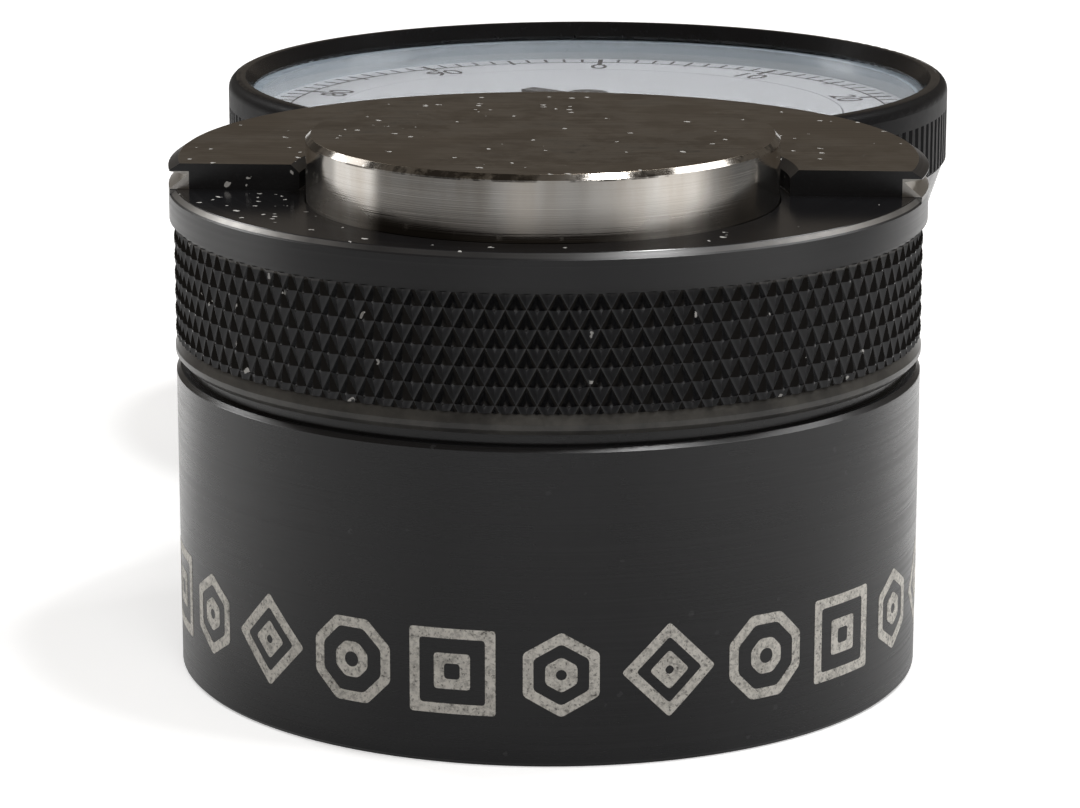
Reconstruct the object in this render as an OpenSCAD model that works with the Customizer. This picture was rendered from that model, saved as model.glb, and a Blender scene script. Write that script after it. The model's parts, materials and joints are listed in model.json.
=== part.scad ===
// Tool length setter: a round base with a sprung sensing anvil on top, a ground reference face
// beside it, and a dial indicator lying behind that a lever drives from the anvil's stem.
// Millimetres. The origin is on the body axis in the base plane, +Z up, the indicator towards +Y.

/* [Body] */
// Outer diameter of the head at its flange
flange_d = 73; // [72.6:0.1:76]
// Step from the flange in to the lower housing
housing_inset = 0.4; // [0.1:0.05:0.6]
// Height of the ground reference face above the base
datum_h = 50; // [49:0.5:54]
// Width of the groove between the housing and the head
groove_w = 1.15; // [0.8:0.05:1.4]
// Depth of the groove between the housing and the head
groove_depth = 1.2; // [0.8:0.1:1.6]
// Wall thickness of the housing round its cavity
housing_wall = 7.1; // [6.6:0.1:7.6]
// Height of the spigot that the head screws onto
spigot_h = 5; // [3.5:0.1:5.4]
// Wall thickness of the spigot
spigot_wall = 3.5; // [3:0.1:4.2]
// Small chamfer on the outer edges of the housing
edge_break = 0.4; // [0.2:0.05:0.6]

/* [Head] */
// Step from the reference face down to the front ledge
ledge_drop = 2.5; // [2.2:0.1:3]
// Distance from the body axis forwards to the step wall
wall_front = 8.2; // [6:0.1:9.5]
// Width of the chamfer round the ledge
ledge_chamfer = 0.6; // [0.3:0.05:0.9]
// Height of the plain band below the ledge
flange_band_h = 3.2; // [2.6:0.1:3.6]
// Width of the turned neck above the knurl
neck_w = 0.55; // [0.4:0.05:0.8]
// Depth of the turned neck above the knurl
neck_depth = 0.6; // [0.3:0.05:0.9]
// Height of the knurled band
knurl_h = 10.85; // [10:0.05:11]
// Step from the flange in to the points of the knurling
knurl_inset = 0.35; // [0.25:0.05:0.55]
// Depth of the knurling's grooves
knurl_depth = 0.4; // [0.2:0.05:0.5]
// Height of the plain band below the knurled band
notch_h = 1.95; // [1.6:0.05:2.4]
// Step from the flange in to the notch below the knurled band
notch_inset = 0.8; // [0.6:0.05:1.1]
// Depth of the V groove round the reference face
vee_depth = 1.65; // [1.2:0.05:2]
// Height of the bottom of the V groove above the ledge
vee_apex_h = 1.42; // [1.1:0.02:1.6]
// Rise of the V groove's roof from its bottom to the rim
vee_roof_rise = 0.3; // [0.1:0.05:0.4]
// Radial width of the chamfer round the reference face
datum_chamfer = 1; // [0.5:0.05:1.4]
// Thickness of the web that carries the guide bush
web_t = 3; // [2.6:0.1:3.6]

/* [Anvil] */
// Distance from the front of the flange to the sensing anvil
anvil_inset = 4.45; // [3.8:0.05:5.6]
// Distance from the body axis forwards to the anvil axis
anvil_front = 9.8; // [9:0.1:10.4]
// Height of the anvil above the reference face when nothing presses it
anvil_rise = 3.65; // [3.4:0.05:3.9]
// Full travel of the anvil
anvil_travel = 4.75; // [4.2:0.05:4.9]
// Height of the anvil's disc
disc_h = 8.8; // [8.4:0.1:9.4]
// Chamfer round the anvil's top edge
anvil_chamfer = 0.5; // [0.3:0.05:0.8]
// Diameter of the anvil's guide stem
stem_d = 12; // [11:0.1:12.4]
// Diameter of the stem's lower end
tail_d = 8; // [7:0.1:9]
// Diameter of the stop collar on the stem
collar_d = 23.6; // [23:0.1:24.4]
// Thickness of the stop collar
collar_t = 2.85; // [2.6:0.05:3.2]
// Radial gap between the anvil and the opening in the reference face
anvil_gap = 1; // [0.6:0.1:1.6]
// Chamfer of that opening
opening_chamfer = 0.8; // [0.4:0.1:1.1]
// Outer diameter of the upper guide bush
upper_bush_d = 16; // [15:0.1:17]
// Height of the upper guide bush
upper_bush_h = 6; // [5:0.1:6.4]
// Outer diameter of the lower guide bush
lower_bush_d = 12; // [11:0.1:13]
// Wire diameter of the anvil spring
spring_wire = 1.1; // [0.8:0.05:1.1]
// Free turns of the anvil spring
spring_turns = 7; // [5:1:9]
// Height of the wiper seal round the anvil
seal_h = 1.3; // [1:0.05:1.3]

/* [Base] */
// Thickness of the base plate
base_t = 6; // [5.4:0.1:7]
// Width of the rim that the base plate seats on
base_seat = 2; // [1.5:0.1:2.6]
// Height of the guide boss on the base plate
boss_h = 10; // [8:0.1:11]
// Diameter of the guide boss on the base plate
boss_d = 18; // [16:0.1:20]
// Diameter of a base magnet
magnet_d = 10; // [8:0.1:12]
// Thickness of a base magnet
magnet_t = 4; // [3:0.1:4.4]
// Number of base magnets and of base screws
base_count = 3; // [3, 4]
// Nominal diameter of the base screws
base_screw_d = 3; // [2.5:0.1:3.5]

/* [Lever] */
// Length of each arm of the bell crank, pivot to contact ball
lever_arm = 8; // [7.6:0.1:8.6]
// Radius of the contact balls on the bell crank
ball_r = 1.5; // [1.3:0.05:1.7]
// Distance from the anvil axis to the upper contact ball
contact_r = 9.5; // [9.4:0.05:10]
// Diameter of the pivot pin
pivot_d = 3; // [2.6:0.1:3.4]
// Width of the bell crank at its hub
crank_w = 5; // [4:0.1:6]
// Thickness of each ear of the bracket
ear_t = 2; // [1.6:0.1:2.6]
// Thickness of the bracket's plate
bracket_t = 1.8; // [1.5:0.1:2.2]

/* [Indicator] */
// Gap between the head and the bezel
bezel_gap = 6.8; // [6.4:0.1:9]
// Outer diameter of the bezel
bezel_d = 84.4; // [84:0.1:86]
// Overhang of the bezel beyond the case
case_inset = 3.7; // [3.2:0.1:4]
// Wall thickness of the case
case_wall = 3; // [2.6:0.1:3.4]
// Depth of the case below the spindle axis
case_below = 10; // [9.4:0.1:11]
// Height of the dial face above the spindle axis
dial_above = 16.7; // [16.5:0.1:18]
// Height of the bezel above the dial face
bezel_above = 5.5; // [5.2:0.1:6]
// Depth of the bezel below the dial face
bezel_below = 3.9; // [3.5:0.1:4]
// Height of the tapered shoulder below the bezel
shoulder_h = 10.6; // [8:0.1:11]
// Radial thickness of the bezel's rim
rim_w = 2.8; // [2.6:0.1:3]
// Number of flutes round the bezel
flute_count = 160; // [120:10:180]
// Depth of the flutes round the bezel
flute_depth = 0.3; // [0.2:0.05:0.35]
// Diameter of the clamping stem
clamp_stem_d = 8; // [7.6:0.1:8.4]
// Diameter of the spindle
spindle_d = 5; // [4.6:0.1:5.2]
// Thickness of the crystal
crystal_t = 1.4; // [1.2:0.1:1.6]
// Thickness of the dial plates
dial_t = 0.8; // [0.6:0.05:1]
// Radial width of the graduated ring
dial_ring_w = 10.2; // [9.4:0.1:11]
// Height of the back cover
cover_t = 2; // [1.6:0.1:2.4]

/* [Movement] */
// Distance from tooth to tooth of the rack on the spindle
rack_pitch = 0.625; // [0.61:0.005:0.64]
// Teeth on the gears
gear_teeth = 100; // [98:1:102]
// Teeth on the centre pinion
pinion_teeth = 10; // [10:1:11]
// Teeth on the pinion that the rack drives
rack_teeth = 16; // [16:1:18]
// Module of the gears
gear_module = 0.2; // [0.19:0.01:0.21]
// Thickness of a gear
gear_t = 1; // [0.8:0.1:1.2]
// Thickness of a movement plate
plate_t = 1.2; // [1:0.1:1.4]
// Gap between the upper movement plate and the case
upper_plate_gap = 2.5; // [1.6:0.1:2.8]
// Gap between the lower movement plate and the case
lower_plate_gap = 11.5; // [10:0.1:12.5]
// Diameter of the arbors
arbor_d = 1.6; // [1.4:0.05:1.7]
// Diameter of the pillars between the plates
pillar_d = 5; // [4:0.1:6]
// Distance from the pointer's tip to the edge of the graduated ring
pointer_gap = 6.2; // [5:0.1:8]
// Length of the turn counter's hand
hand_l = 5.4; // [4.5:0.1:6]

/* [Fits] */
// Radial clearance of the sliding and turning fits
run_fit = 0.05; // [0.03:0.01:0.08]
// Radial clearance round the anvil's disc
disc_fit = 0.15; // [0.1:0.01:0.2]
// Gap between pieces that stop against each other
stop_gap = 0.1; // [0.08:0.01:0.15]
// Gap between a contact ball and the face that it works against
ball_gap = 0.175; // [0.15:0.005:0.2]
// Clearance between moving pieces that pass each other
pass_gap = 0.5; // [0.4:0.05:0.6]

/* [Hidden] */
$fn = 96;
overrun = 1;

// Shares of a screw's nominal diameter that shape its head
head_d_share = 1.85;
head_h_share = 0.65;
socket_share = 0.8;
socket_depth_share = 0.45;
socket_sides = 6;

// Shares of a module that shape a tooth
addendum_share = 0.8;
dedendum_share = 1.2;
tooth_share = 0.42;
flank_share = 0.36;

// Points of one flute, as shares of its depth out from the bezel and of its pitch round it
flute_shares = [[-1, -0.3], [0.1, -0.1], [0.1, 0.3]];
flute_height_share = 0.66;

// Body stations
ledge_z = datum_h - ledge_drop;
band_z = ledge_z - flange_band_h;
knurl_top_z = band_z - neck_w;
knurl_z = knurl_top_z - knurl_h;
head_z = knurl_z - notch_h;
housing_h = head_z - groove_w;
flange_r = flange_d / 2;
housing_r = flange_r - housing_inset;
cavity_r = housing_r - housing_wall;
spigot_r = cavity_r + spigot_wall;
base_r = cavity_r + base_seat;
vee_apex_z = ledge_z + vee_apex_h;
vee_rim_z = vee_apex_z + vee_roof_rise;

// Anvil stations, from its top face down to the web and the lever
anvil_r = flange_r - anvil_front - anvil_inset;
anvil_z = datum_h + anvil_rise;
disc_z = anvil_z - disc_h;
web_z = disc_z - anvil_travel - stop_gap;
web_under_z = web_z - web_t;
collar_z = web_under_z - stop_gap;
collar_under_z = collar_z - collar_t;
pivot_z = collar_under_z - anvil_travel / 2 - ball_r - ball_gap;
axis_z = pivot_z - lever_arm;
half_swing = anvil_travel / lever_arm / 2 * 180 / PI;
pivot_y = contact_r - anvil_front + lever_arm;
tip_y = pivot_y - lever_arm * sin(half_swing) + ball_r + stop_gap;
boss_z = base_t + boss_h;
well_z = base_t / 4 * 3;
tail_z = well_z + anvil_travel + stop_gap;
shoulder_z = boss_z + anvil_travel + overrun;
spring_r = stem_d / 2 + pass_gap + spring_wire / 2;
recess_z = web_under_z + upper_bush_h + anvil_travel + pass_gap;
recess_r = upper_bush_d / 2 + pass_gap * 2;
seal_z = ledge_z - seal_h - stop_gap * 8;
seal_w = seal_h * 0.9;

// Bracket of the lever
ear_x = crank_w / 2 + ball_gap * 2;
ear_r = pivot_d * 1.15;
bracket_front_y = pivot_y - ear_r;
bracket_l = ear_r * 5;
bracket_w = (ear_x + ear_t) * 2 + ear_t * 2;
bracket_screw_x = [-bracket_w * 0.27, bracket_w * 0.27];
bracket_screw_y = bracket_front_y + bracket_l * 0.76;

// Base pattern
base_screw_r = base_screw_d / 2;
screw_boss_r = base_screw_d * 1.35;
screw_ring_r = cavity_r - base_screw_r * 1.7;
screw_boss_h = base_screw_d * 3;
magnet_ring_r = cavity_r * 0.72;

// Indicator stations
bezel_r = bezel_d / 2;
case_r = bezel_r - case_inset;
dial_back = flange_r + bezel_gap + bezel_r;
dial_z = axis_z + dial_above;
bezel_top_z = dial_z + bezel_above;
bezel_z = dial_z - bezel_below;
case_z = axis_z - case_below;
rim_r = bezel_r - rim_w;
seat_r = rim_r + rim_w * 0.29;
guide_r = rim_r + rim_w * 0.09;
pointer_l = seat_r - pointer_gap;
shelf_z = bezel_z - bezel_below * 0.05;
shelf_t = bezel_below * 0.5;
case_inner_r = case_r - case_wall;
dial_inner_r = seat_r - dial_ring_w;
crystal_top_z = dial_z + bezel_above * 0.65;
crystal_z = crystal_top_z - crystal_t;
retainer_z = shelf_z + shelf_t * 0.6;
retainer_w = rim_w * 0.3;
clamp_stem_r = clamp_stem_d / 2;
spindle_r = spindle_d / 2;
stem_front_y = cavity_r * 0.7;
clamp_pad_w = clamp_stem_d * 2;
clamp_pad_h = clamp_stem_d * 1.8;
grub_d = clamp_stem_d * 0.6;
clamp_screw_y = (stem_front_y + housing_r) / 2;
collar_stem_y = dial_back - case_r - rim_w;
stem_inner_y = dial_back - case_inner_r + clamp_stem_r;
case_rear_y = dial_back + case_r;
rear_bush_y = dial_back + case_inner_r - case_wall;
spindle_end_y = case_rear_y + case_wall;
cap_end_y = spindle_end_y + anvil_travel + case_wall;
cover_ring_r = case_inner_r - base_screw_d * 0.9;

// Movement stations
upper_plate_r = case_inner_r - upper_plate_gap;
lower_plate_r = case_inner_r - lower_plate_gap;
turn_travel = rack_pitch * rack_teeth;
pointer_travel = turn_travel * pinion_teeth / gear_teeth;
rack_module = rack_pitch / PI;
rack_pinion_r = turn_travel / PI / 2;
centre_distance = (gear_teeth + pinion_teeth) * gear_module / 2;
rack_line = spindle_r * 0.68;
rack_x = -(rack_line + rack_pinion_r);
rack_dy = sqrt(centre_distance * centre_distance - rack_x * rack_x);
rack_y = dial_back - rack_dy;
mesh_dir = atan2(rack_dy, -rack_x);
arbor_r = arbor_d / 2;
lower_plate_z = axis_z + spindle_r + plate_t * 1.25;
upper_plate_z = shelf_z - plate_t;
gear_z = lower_plate_z + plate_t * 2;
pinion_h = gear_t * 2;
hand_z = dial_z + dial_t / 2;
pointer_z = hand_z + dial_t;
hand_t = dial_t / 2;
pillar_shares = [[0.75, 0], [0.58, -0.7], [-0.75, 0], [-0.58, 0.7]];
plate_screw_d = base_screw_d * 0.65;
plate_screw_ring_r = (upper_plate_r + dial_inner_r) / 2 - plate_screw_d / 4;
spring_x = spindle_r * 3;
pin_r = spindle_r * 0.32;
pin_y = dial_back + spindle_d * 2;
post_y = dial_back - case_inner_r * 0.72;
return_wire = spindle_d * 0.09;
return_spring_r = pin_r + return_wire;
return_turns = 14;
hair_turns = 4;

// A ring or disc between two radii, standing on z
module ring(outer, inner, z, h) {
    translate([0, 0, z]) linear_extrude(h) difference() {
        circle(outer);
        if (inner > 0) circle(inner);
    }
}

// A plain cylinder along Y from y0 to y1 at the height of the spindle axis
module along_y(r, y0, y1) {
    translate([0, y0, axis_z]) rotate([-90, 0, 0]) cylinder(r = r, h = y1 - y0);
}

// A cap screw whose head seats on z = 0 and whose shank points down
module cap_screw(d, length) {
    difference() {
        union() {
            cylinder(d = d * head_d_share, h = d * head_h_share);
            translate([0, 0, -length]) cylinder(d = d, h = length + overrun / 2);
        }
        translate([0, 0, d * (head_h_share - socket_depth_share)])
            cylinder(d = d * socket_share * head_d_share / 1.5, h = d + overrun, $fn = socket_sides);
    }
}

// A countersunk screw whose head is flush with z = 0 and whose shank points up
module flush_screw(d, length) {
    difference() {
        union() {
            cylinder(d1 = d * head_d_share, d2 = d, h = d * head_h_share);
            cylinder(d = d, h = length);
        }
        translate([0, 0, -overrun])
            cylinder(d = d * socket_share, h = d * socket_depth_share + overrun, $fn = socket_sides);
    }
}

// The countersunk hole that such a screw fills
module flush_hole(d, length) {
    translate([0, 0, -overrun]) cylinder(d = d + run_fit * 2, h = length + overrun);
    cylinder(d1 = (d + run_fit) * head_d_share, d2 = d + run_fit, h = d * head_h_share);
    translate([0, 0, -overrun]) cylinder(d = (d + run_fit) * head_d_share, h = overrun);
}

// Copies of a child at equal angles on a circle, the first one at an angle
module on_ring(count, r, first) {
    for (i = [0 : count - 1]) rotate(first + i * 360 / count) translate([r, 0, 0]) children();
}

// Outline of a gear with straight-flanked teeth, the first tooth at angle 0
function tooth_angle(r, width) = width / r / 2 * 180 / PI;
function tooth_width(m, rise) = PI * m * tooth_share - 2 * rise * m * flank_share;
function gear_points(teeth, m, up_share = addendum_share) =
    let (pitch_r = teeth * m / 2,
        tip_r = pitch_r + m * up_share,
        root_r = pitch_r - m * dedendum_share,
        tip_a = tooth_angle(tip_r, tooth_width(m, up_share)),
        root_a = min(tooth_angle(root_r, tooth_width(m, -dedendum_share)), 160 / teeth))
    [for (i = [0 : teeth - 1], p = [[root_r, -root_a], [tip_r, -tip_a], [tip_r, tip_a], [root_r, root_a]])
        let (a = i * 360 / teeth + p[1]) [p[0] * cos(a), p[0] * sin(a)]];

// Angle that puts gear b in mesh with gear a, when b lies from a in direction dir
function mesh_turn(dir, teeth_a, turn_a, teeth_b) =
    dir + 180 - (0.5 - (dir - turn_a) * teeth_a / 360) * 360 / teeth_b;
centre_turn = mesh_turn(mesh_dir, gear_teeth, mesh_dir, pinion_teeth);
takeup_turn = mesh_turn(mesh_dir, pinion_teeth, centre_turn, gear_teeth);

// A coil of round wire along Z as one closed tube
module coil(mean_r, wire_r, length, turns, rings = 10, sides = 6) {
    steps = turns * rings;
    lead = (length - 2 * wire_r) / turns;
    slope = atan2(lead, 2 * PI * mean_r);
    points = [for (i = [0 : steps], j = [0 : sides - 1])
        let (a = i * 360 / rings, b = j * 360 / sides,
            out = wire_r * cos(b), up = wire_r * sin(b))
        [(mean_r + out) * cos(a) + up * sin(slope) * sin(a),
            (mean_r + out) * sin(a) - up * sin(slope) * cos(a),
            wire_r + i * lead / rings + up * cos(slope)]];
    faces = concat(
        [[for (j = [0 : sides - 1]) j]],
        [for (i = [0 : steps - 1], j = [0 : sides - 1])
            let (k = (j + 1) % sides)
            each [[i * sides + j, (i + 1) * sides + j, (i + 1) * sides + k],
                [i * sides + j, (i + 1) * sides + k, i * sides + k]]],
        [[for (j = [sides - 1 : -1 : 0]) steps * sides + j]]);
    polyhedron(points, faces);
}

// The lower cylindrical body with its cavity, spigot and indicator socket
module housing() {
    top_z = head_z + spigot_h;
    groove_r = housing_r - groove_depth;
    color("#1d1d20") difference() {
        union() {
            rotate_extrude() polygon([[base_r + run_fit, 0], [housing_r - edge_break, 0],
                [housing_r, edge_break], [housing_r, housing_h - edge_break],
                [housing_r - edge_break, housing_h], [groove_r, housing_h], [groove_r, head_z],
                [spigot_r, head_z], [spigot_r, top_z - edge_break], [spigot_r - edge_break, top_z],
                [cavity_r, top_z], [cavity_r, base_t], [base_r + run_fit, base_t]]);
            intersection() {
                translate([-clamp_pad_w / 2, stem_front_y, axis_z - clamp_pad_h / 2])
                    cube([clamp_pad_w, cavity_r, clamp_pad_h]);
                cylinder(r = cavity_r + housing_wall / 2, h = datum_h);
            }
            intersection() {
                on_ring(base_count, screw_ring_r, -90)
                    translate([0, 0, base_t + stop_gap]) cylinder(r = screw_boss_r, h = screw_boss_h);
                cylinder(r = cavity_r + housing_wall / 2, h = datum_h);
            }
        }
        along_y(clamp_stem_r + run_fit / 2, stem_front_y - overrun, housing_r + overrun);
        on_ring(base_count, screw_ring_r, -90)
            translate([0, 0, base_t - overrun]) cylinder(r = base_screw_r, h = screw_boss_h);
        translate([0, clamp_screw_y, axis_z]) rotate([0, 90, 0])
            cylinder(d = grub_d, h = housing_r + overrun);
    }
}

// The grub screw that clamps the indicator's stem from the side
module stem_clamp_screw() {
    start_x = clamp_stem_r;
    length = clamp_stem_d;
    color("#3a3a3c") translate([0, clamp_screw_y, axis_z]) rotate([0, 90, 0]) difference() {
        translate([0, 0, start_x + stop_gap]) cylinder(d = grub_d, h = length);
        translate([0, 0, start_x + length * (1 - socket_depth_share)])
            cylinder(d = grub_d * 0.55, h = length, $fn = socket_sides);
    }
}

// The knurled head with the raised reference face, its V groove and the anvil opening
module head() {
    knurl_r = flange_r - knurl_inset;
    root_r = knurl_r - knurl_depth;
    notch_r = flange_r - notch_inset;
    top_r = flange_r - datum_chamfer;
    bore_r = anvil_r + disc_fit;
    opening_r = anvil_r + anvil_gap;
    color("#242426") difference() {
        rotate_extrude() polygon([[spigot_r + run_fit, head_z], [notch_r, head_z],
            [knurl_r, head_z + notch_h * 0.25], [knurl_r, head_z + notch_h * 0.5], [notch_r, knurl_z],
            [root_r, knurl_z], [root_r, knurl_top_z], [flange_r - neck_depth, knurl_top_z],
            [flange_r - neck_depth, band_z], [flange_r, band_z], [flange_r, ledge_z],
            [flange_r - vee_depth, vee_apex_z], [flange_r, vee_rim_z],
            [flange_r, vee_rim_z + datum_chamfer * 0.1],
            [top_r, datum_h], [0, datum_h], [0, web_under_z], [cavity_r, web_under_z],
            [cavity_r, head_z + spigot_h + stop_gap], [spigot_r + run_fit, head_z + spigot_h + stop_gap]]);
        // Front half lowered to the ledge
        translate([-flange_d, -flange_d - wall_front, ledge_z]) cube([flange_d * 2, flange_d, flange_d]);
        // Chamfer round the ledge, in front of the wall only
        intersection() {
            translate([-flange_d, -flange_d - wall_front, ledge_z - ledge_chamfer])
                cube([flange_d * 2, flange_d, flange_d]);
            rotate_extrude() polygon([[flange_r - ledge_chamfer, ledge_z],
                [flange_r, ledge_z - ledge_chamfer], [flange_r + overrun, ledge_z - ledge_chamfer],
                [flange_r + overrun, ledge_z + overrun], [flange_r - ledge_chamfer, ledge_z + overrun]]);
        }
        translate([0, -anvil_front, 0]) {
            translate([0, 0, web_z]) cylinder(r = bore_r, h = datum_h);
            translate([0, 0, web_under_z - overrun]) cylinder(d = upper_bush_d, h = datum_h);
            translate([0, 0, ledge_z]) cylinder(r = opening_r, h = datum_h);
            translate([0, 0, datum_h - opening_chamfer]) cylinder(r1 = opening_r,
                r2 = opening_r + opening_chamfer + overrun, h = opening_chamfer + overrun);
            ring(bore_r + seal_w, 0, seal_z, seal_h);
        }
        // Tapped holes for the bracket's screws
        for (x = bracket_screw_x) translate([x, bracket_screw_y, web_under_z - overrun])
            cylinder(d = plate_screw_d, h = web_t + overrun);
    }
}

// The hardened sensing disc with its guide stem in one piece
module anvil() {
    color("#b9b6b0") translate([0, -anvil_front, 0]) difference() {
        rotate_extrude() polygon([[0, tail_z], [tail_d / 2 - edge_break, tail_z],
            [tail_d / 2, tail_z + edge_break], [tail_d / 2, shoulder_z], [stem_d / 2, shoulder_z],
            [stem_d / 2, recess_z], [recess_r, recess_z], [recess_r, disc_z],
            [anvil_r - edge_break, disc_z], [anvil_r, disc_z + edge_break],
            [anvil_r, anvil_z - anvil_chamfer], [anvil_r - anvil_chamfer, anvil_z], [0, anvil_z]]);
        collar_pin_hole();
    }
}

module collar_pin_hole() {
    translate([-collar_d, 0, (collar_z + collar_under_z) / 2]) rotate([0, 90, 0])
        cylinder(d = collar_t * 0.6, h = collar_d * 2);
}

// The collar that stops the anvil upwards and works on the bell crank
module stop_collar() {
    color("#8d8d90") translate([0, -anvil_front, 0]) difference() {
        translate([0, 0, collar_under_z]) cylinder(d = collar_d, h = collar_t);
        translate([0, 0, collar_under_z - overrun]) cylinder(d = stem_d, h = collar_t + 2 * overrun);
        collar_pin_hole();
    }
}

module collar_pin() {
    color("#a8a8aa") translate([0, -anvil_front, 0]) intersection() {
        collar_pin_hole();
        cylinder(d = collar_d - 2 * edge_break, h = datum_h);
    }
}

module anvil_spring() {
    color("#9a9a9c") translate([0, -anvil_front, boss_z])
        coil(spring_r, spring_wire / 2, collar_under_z - boss_z, spring_turns);
}

module upper_bush() {
    color("#b08a45") translate([0, -anvil_front, 0])
        ring(upper_bush_d / 2, stem_d / 2 + run_fit, web_under_z, upper_bush_h);
}

module lower_bush() {
    color("#b08a45") translate([0, -anvil_front, 0])
        ring(lower_bush_d / 2, tail_d / 2 + run_fit, base_t, boss_h);
}

// The lip seal that keeps chips and coolant out of the anvil bore
module wiper_seal() {
    lip_r = anvil_r + run_fit;
    color("#141414") translate([0, -anvil_front, 0]) rotate_extrude() polygon([
        [anvil_r + disc_fit + seal_w, seal_z], [anvil_r + disc_fit + seal_w, seal_z + seal_h],
        [lip_r, seal_z + seal_h], [lip_r, seal_z + seal_h * 0.7], [lip_r + seal_w / 2, seal_z]]);
}

// The bottom plate with its magnets' pockets and the lower guide boss
module base_plate() {
    color("#8b8b8d") difference() {
        union() {
            cylinder(r = base_r, h = base_t);
            translate([0, -anvil_front, 0]) cylinder(d = boss_d, h = boss_z);
        }
        translate([0, -anvil_front, base_t]) cylinder(d = lower_bush_d, h = boss_h + overrun);
        translate([0, -anvil_front, well_z]) cylinder(d = tail_d + pass_gap * 2, h = boss_h);
        on_ring(base_count, screw_ring_r, -90) flush_hole(base_screw_d, base_t + overrun);
        on_ring(base_count, magnet_ring_r, 90)
            translate([0, 0, -overrun]) cylinder(d = magnet_d, h = magnet_t + stop_gap + overrun);
    }
}

module base_screws() {
    color("#55555a") on_ring(base_count, screw_ring_r, -90)
        flush_screw(base_screw_d, base_t + screw_boss_h - overrun * 2);
}

module base_magnets() {
    color("#c9c9cc") on_ring(base_count, magnet_ring_r, 90)
        translate([0, 0, stop_gap]) cylinder(d = magnet_d, h = magnet_t);
}

// Bracket that hangs from the web and holds the bell crank between two ears
module crank_bracket() {
    plate_z = web_under_z - bracket_t;
    color("#77777b") difference() {
        union() {
            translate([-bracket_w / 2, bracket_front_y, plate_z]) cube([bracket_w, bracket_l, bracket_t]);
            for (side = [-1, 1]) translate([side * (ear_x + ear_t / 2) - ear_t / 2, 0, 0]) {
                translate([0, pivot_y, pivot_z]) rotate([0, 90, 0]) cylinder(r = ear_r, h = ear_t);
                translate([0, bracket_front_y, pivot_z]) cube([ear_t, ear_r * 2, web_under_z - pivot_z]);
            }
        }
        translate([-bracket_w, pivot_y, pivot_z]) rotate([0, 90, 0]) cylinder(d = pivot_d, h = bracket_w * 2);
        for (x = bracket_screw_x) translate([x, bracket_screw_y, plate_z - overrun])
            cylinder(d = plate_screw_d + run_fit * 2, h = bracket_t + 2 * overrun);
    }
}

module bracket_screws() {
    color("#4c4c50") for (x = bracket_screw_x)
        translate([x, bracket_screw_y, web_under_z - bracket_t]) rotate([180, 0, 0])
            cap_screw(plate_screw_d, bracket_t + web_t * 0.8);
}

module crank_pin() {
    half = ear_x + ear_t + pivot_d / 3;
    color("#b5b5b8") translate([-half, pivot_y, pivot_z]) rotate([0, 90, 0])
        cylinder(d = pivot_d, h = half * 2);
}

module pin_clips() {
    clip_t = pivot_d / 5;
    color("#2b2b2d") for (side = [-1, 1]) {
        near = ear_x + ear_t + clip_t / 2;
        translate([side * (near + clip_t / 2) - clip_t / 2, pivot_y, pivot_z]) rotate([0, 90, 0])
            difference() {
                ring(pivot_d * 0.95, pivot_d / 2, 0, clip_t);
                translate([-pivot_d / 3, 0, -overrun]) cube([pivot_d / 1.5, pivot_d, clip_t + 2 * overrun]);
            }
    }
}

// The two-armed lever that turns the anvil's travel into spindle travel
module bell_crank() {
    arm_w = ball_r * 1.6;
    arm_t = ball_r * 0.85;
    color("#8f8f93") translate([0, pivot_y, pivot_z]) rotate([-half_swing, 0, 0]) {
        difference() {
            union() {
                rotate([0, 90, 0]) translate([0, 0, -crank_w / 2]) cylinder(d = pivot_d * 2.2, h = crank_w);
                for (turn = [0, 90]) rotate([turn, 0, 0])
                    translate([-arm_w / 2, -lever_arm, -arm_t / 2]) cube([arm_w, lever_arm, arm_t]);
            }
            rotate([0, 90, 0]) translate([0, 0, -crank_w])
                cylinder(r = pivot_d / 2 + run_fit, h = crank_w * 2);
        }
        for (turn = [0, 90]) rotate([turn, 0, 0]) translate([0, -lever_arm, 0]) sphere(r = ball_r);
    }
}

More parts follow.
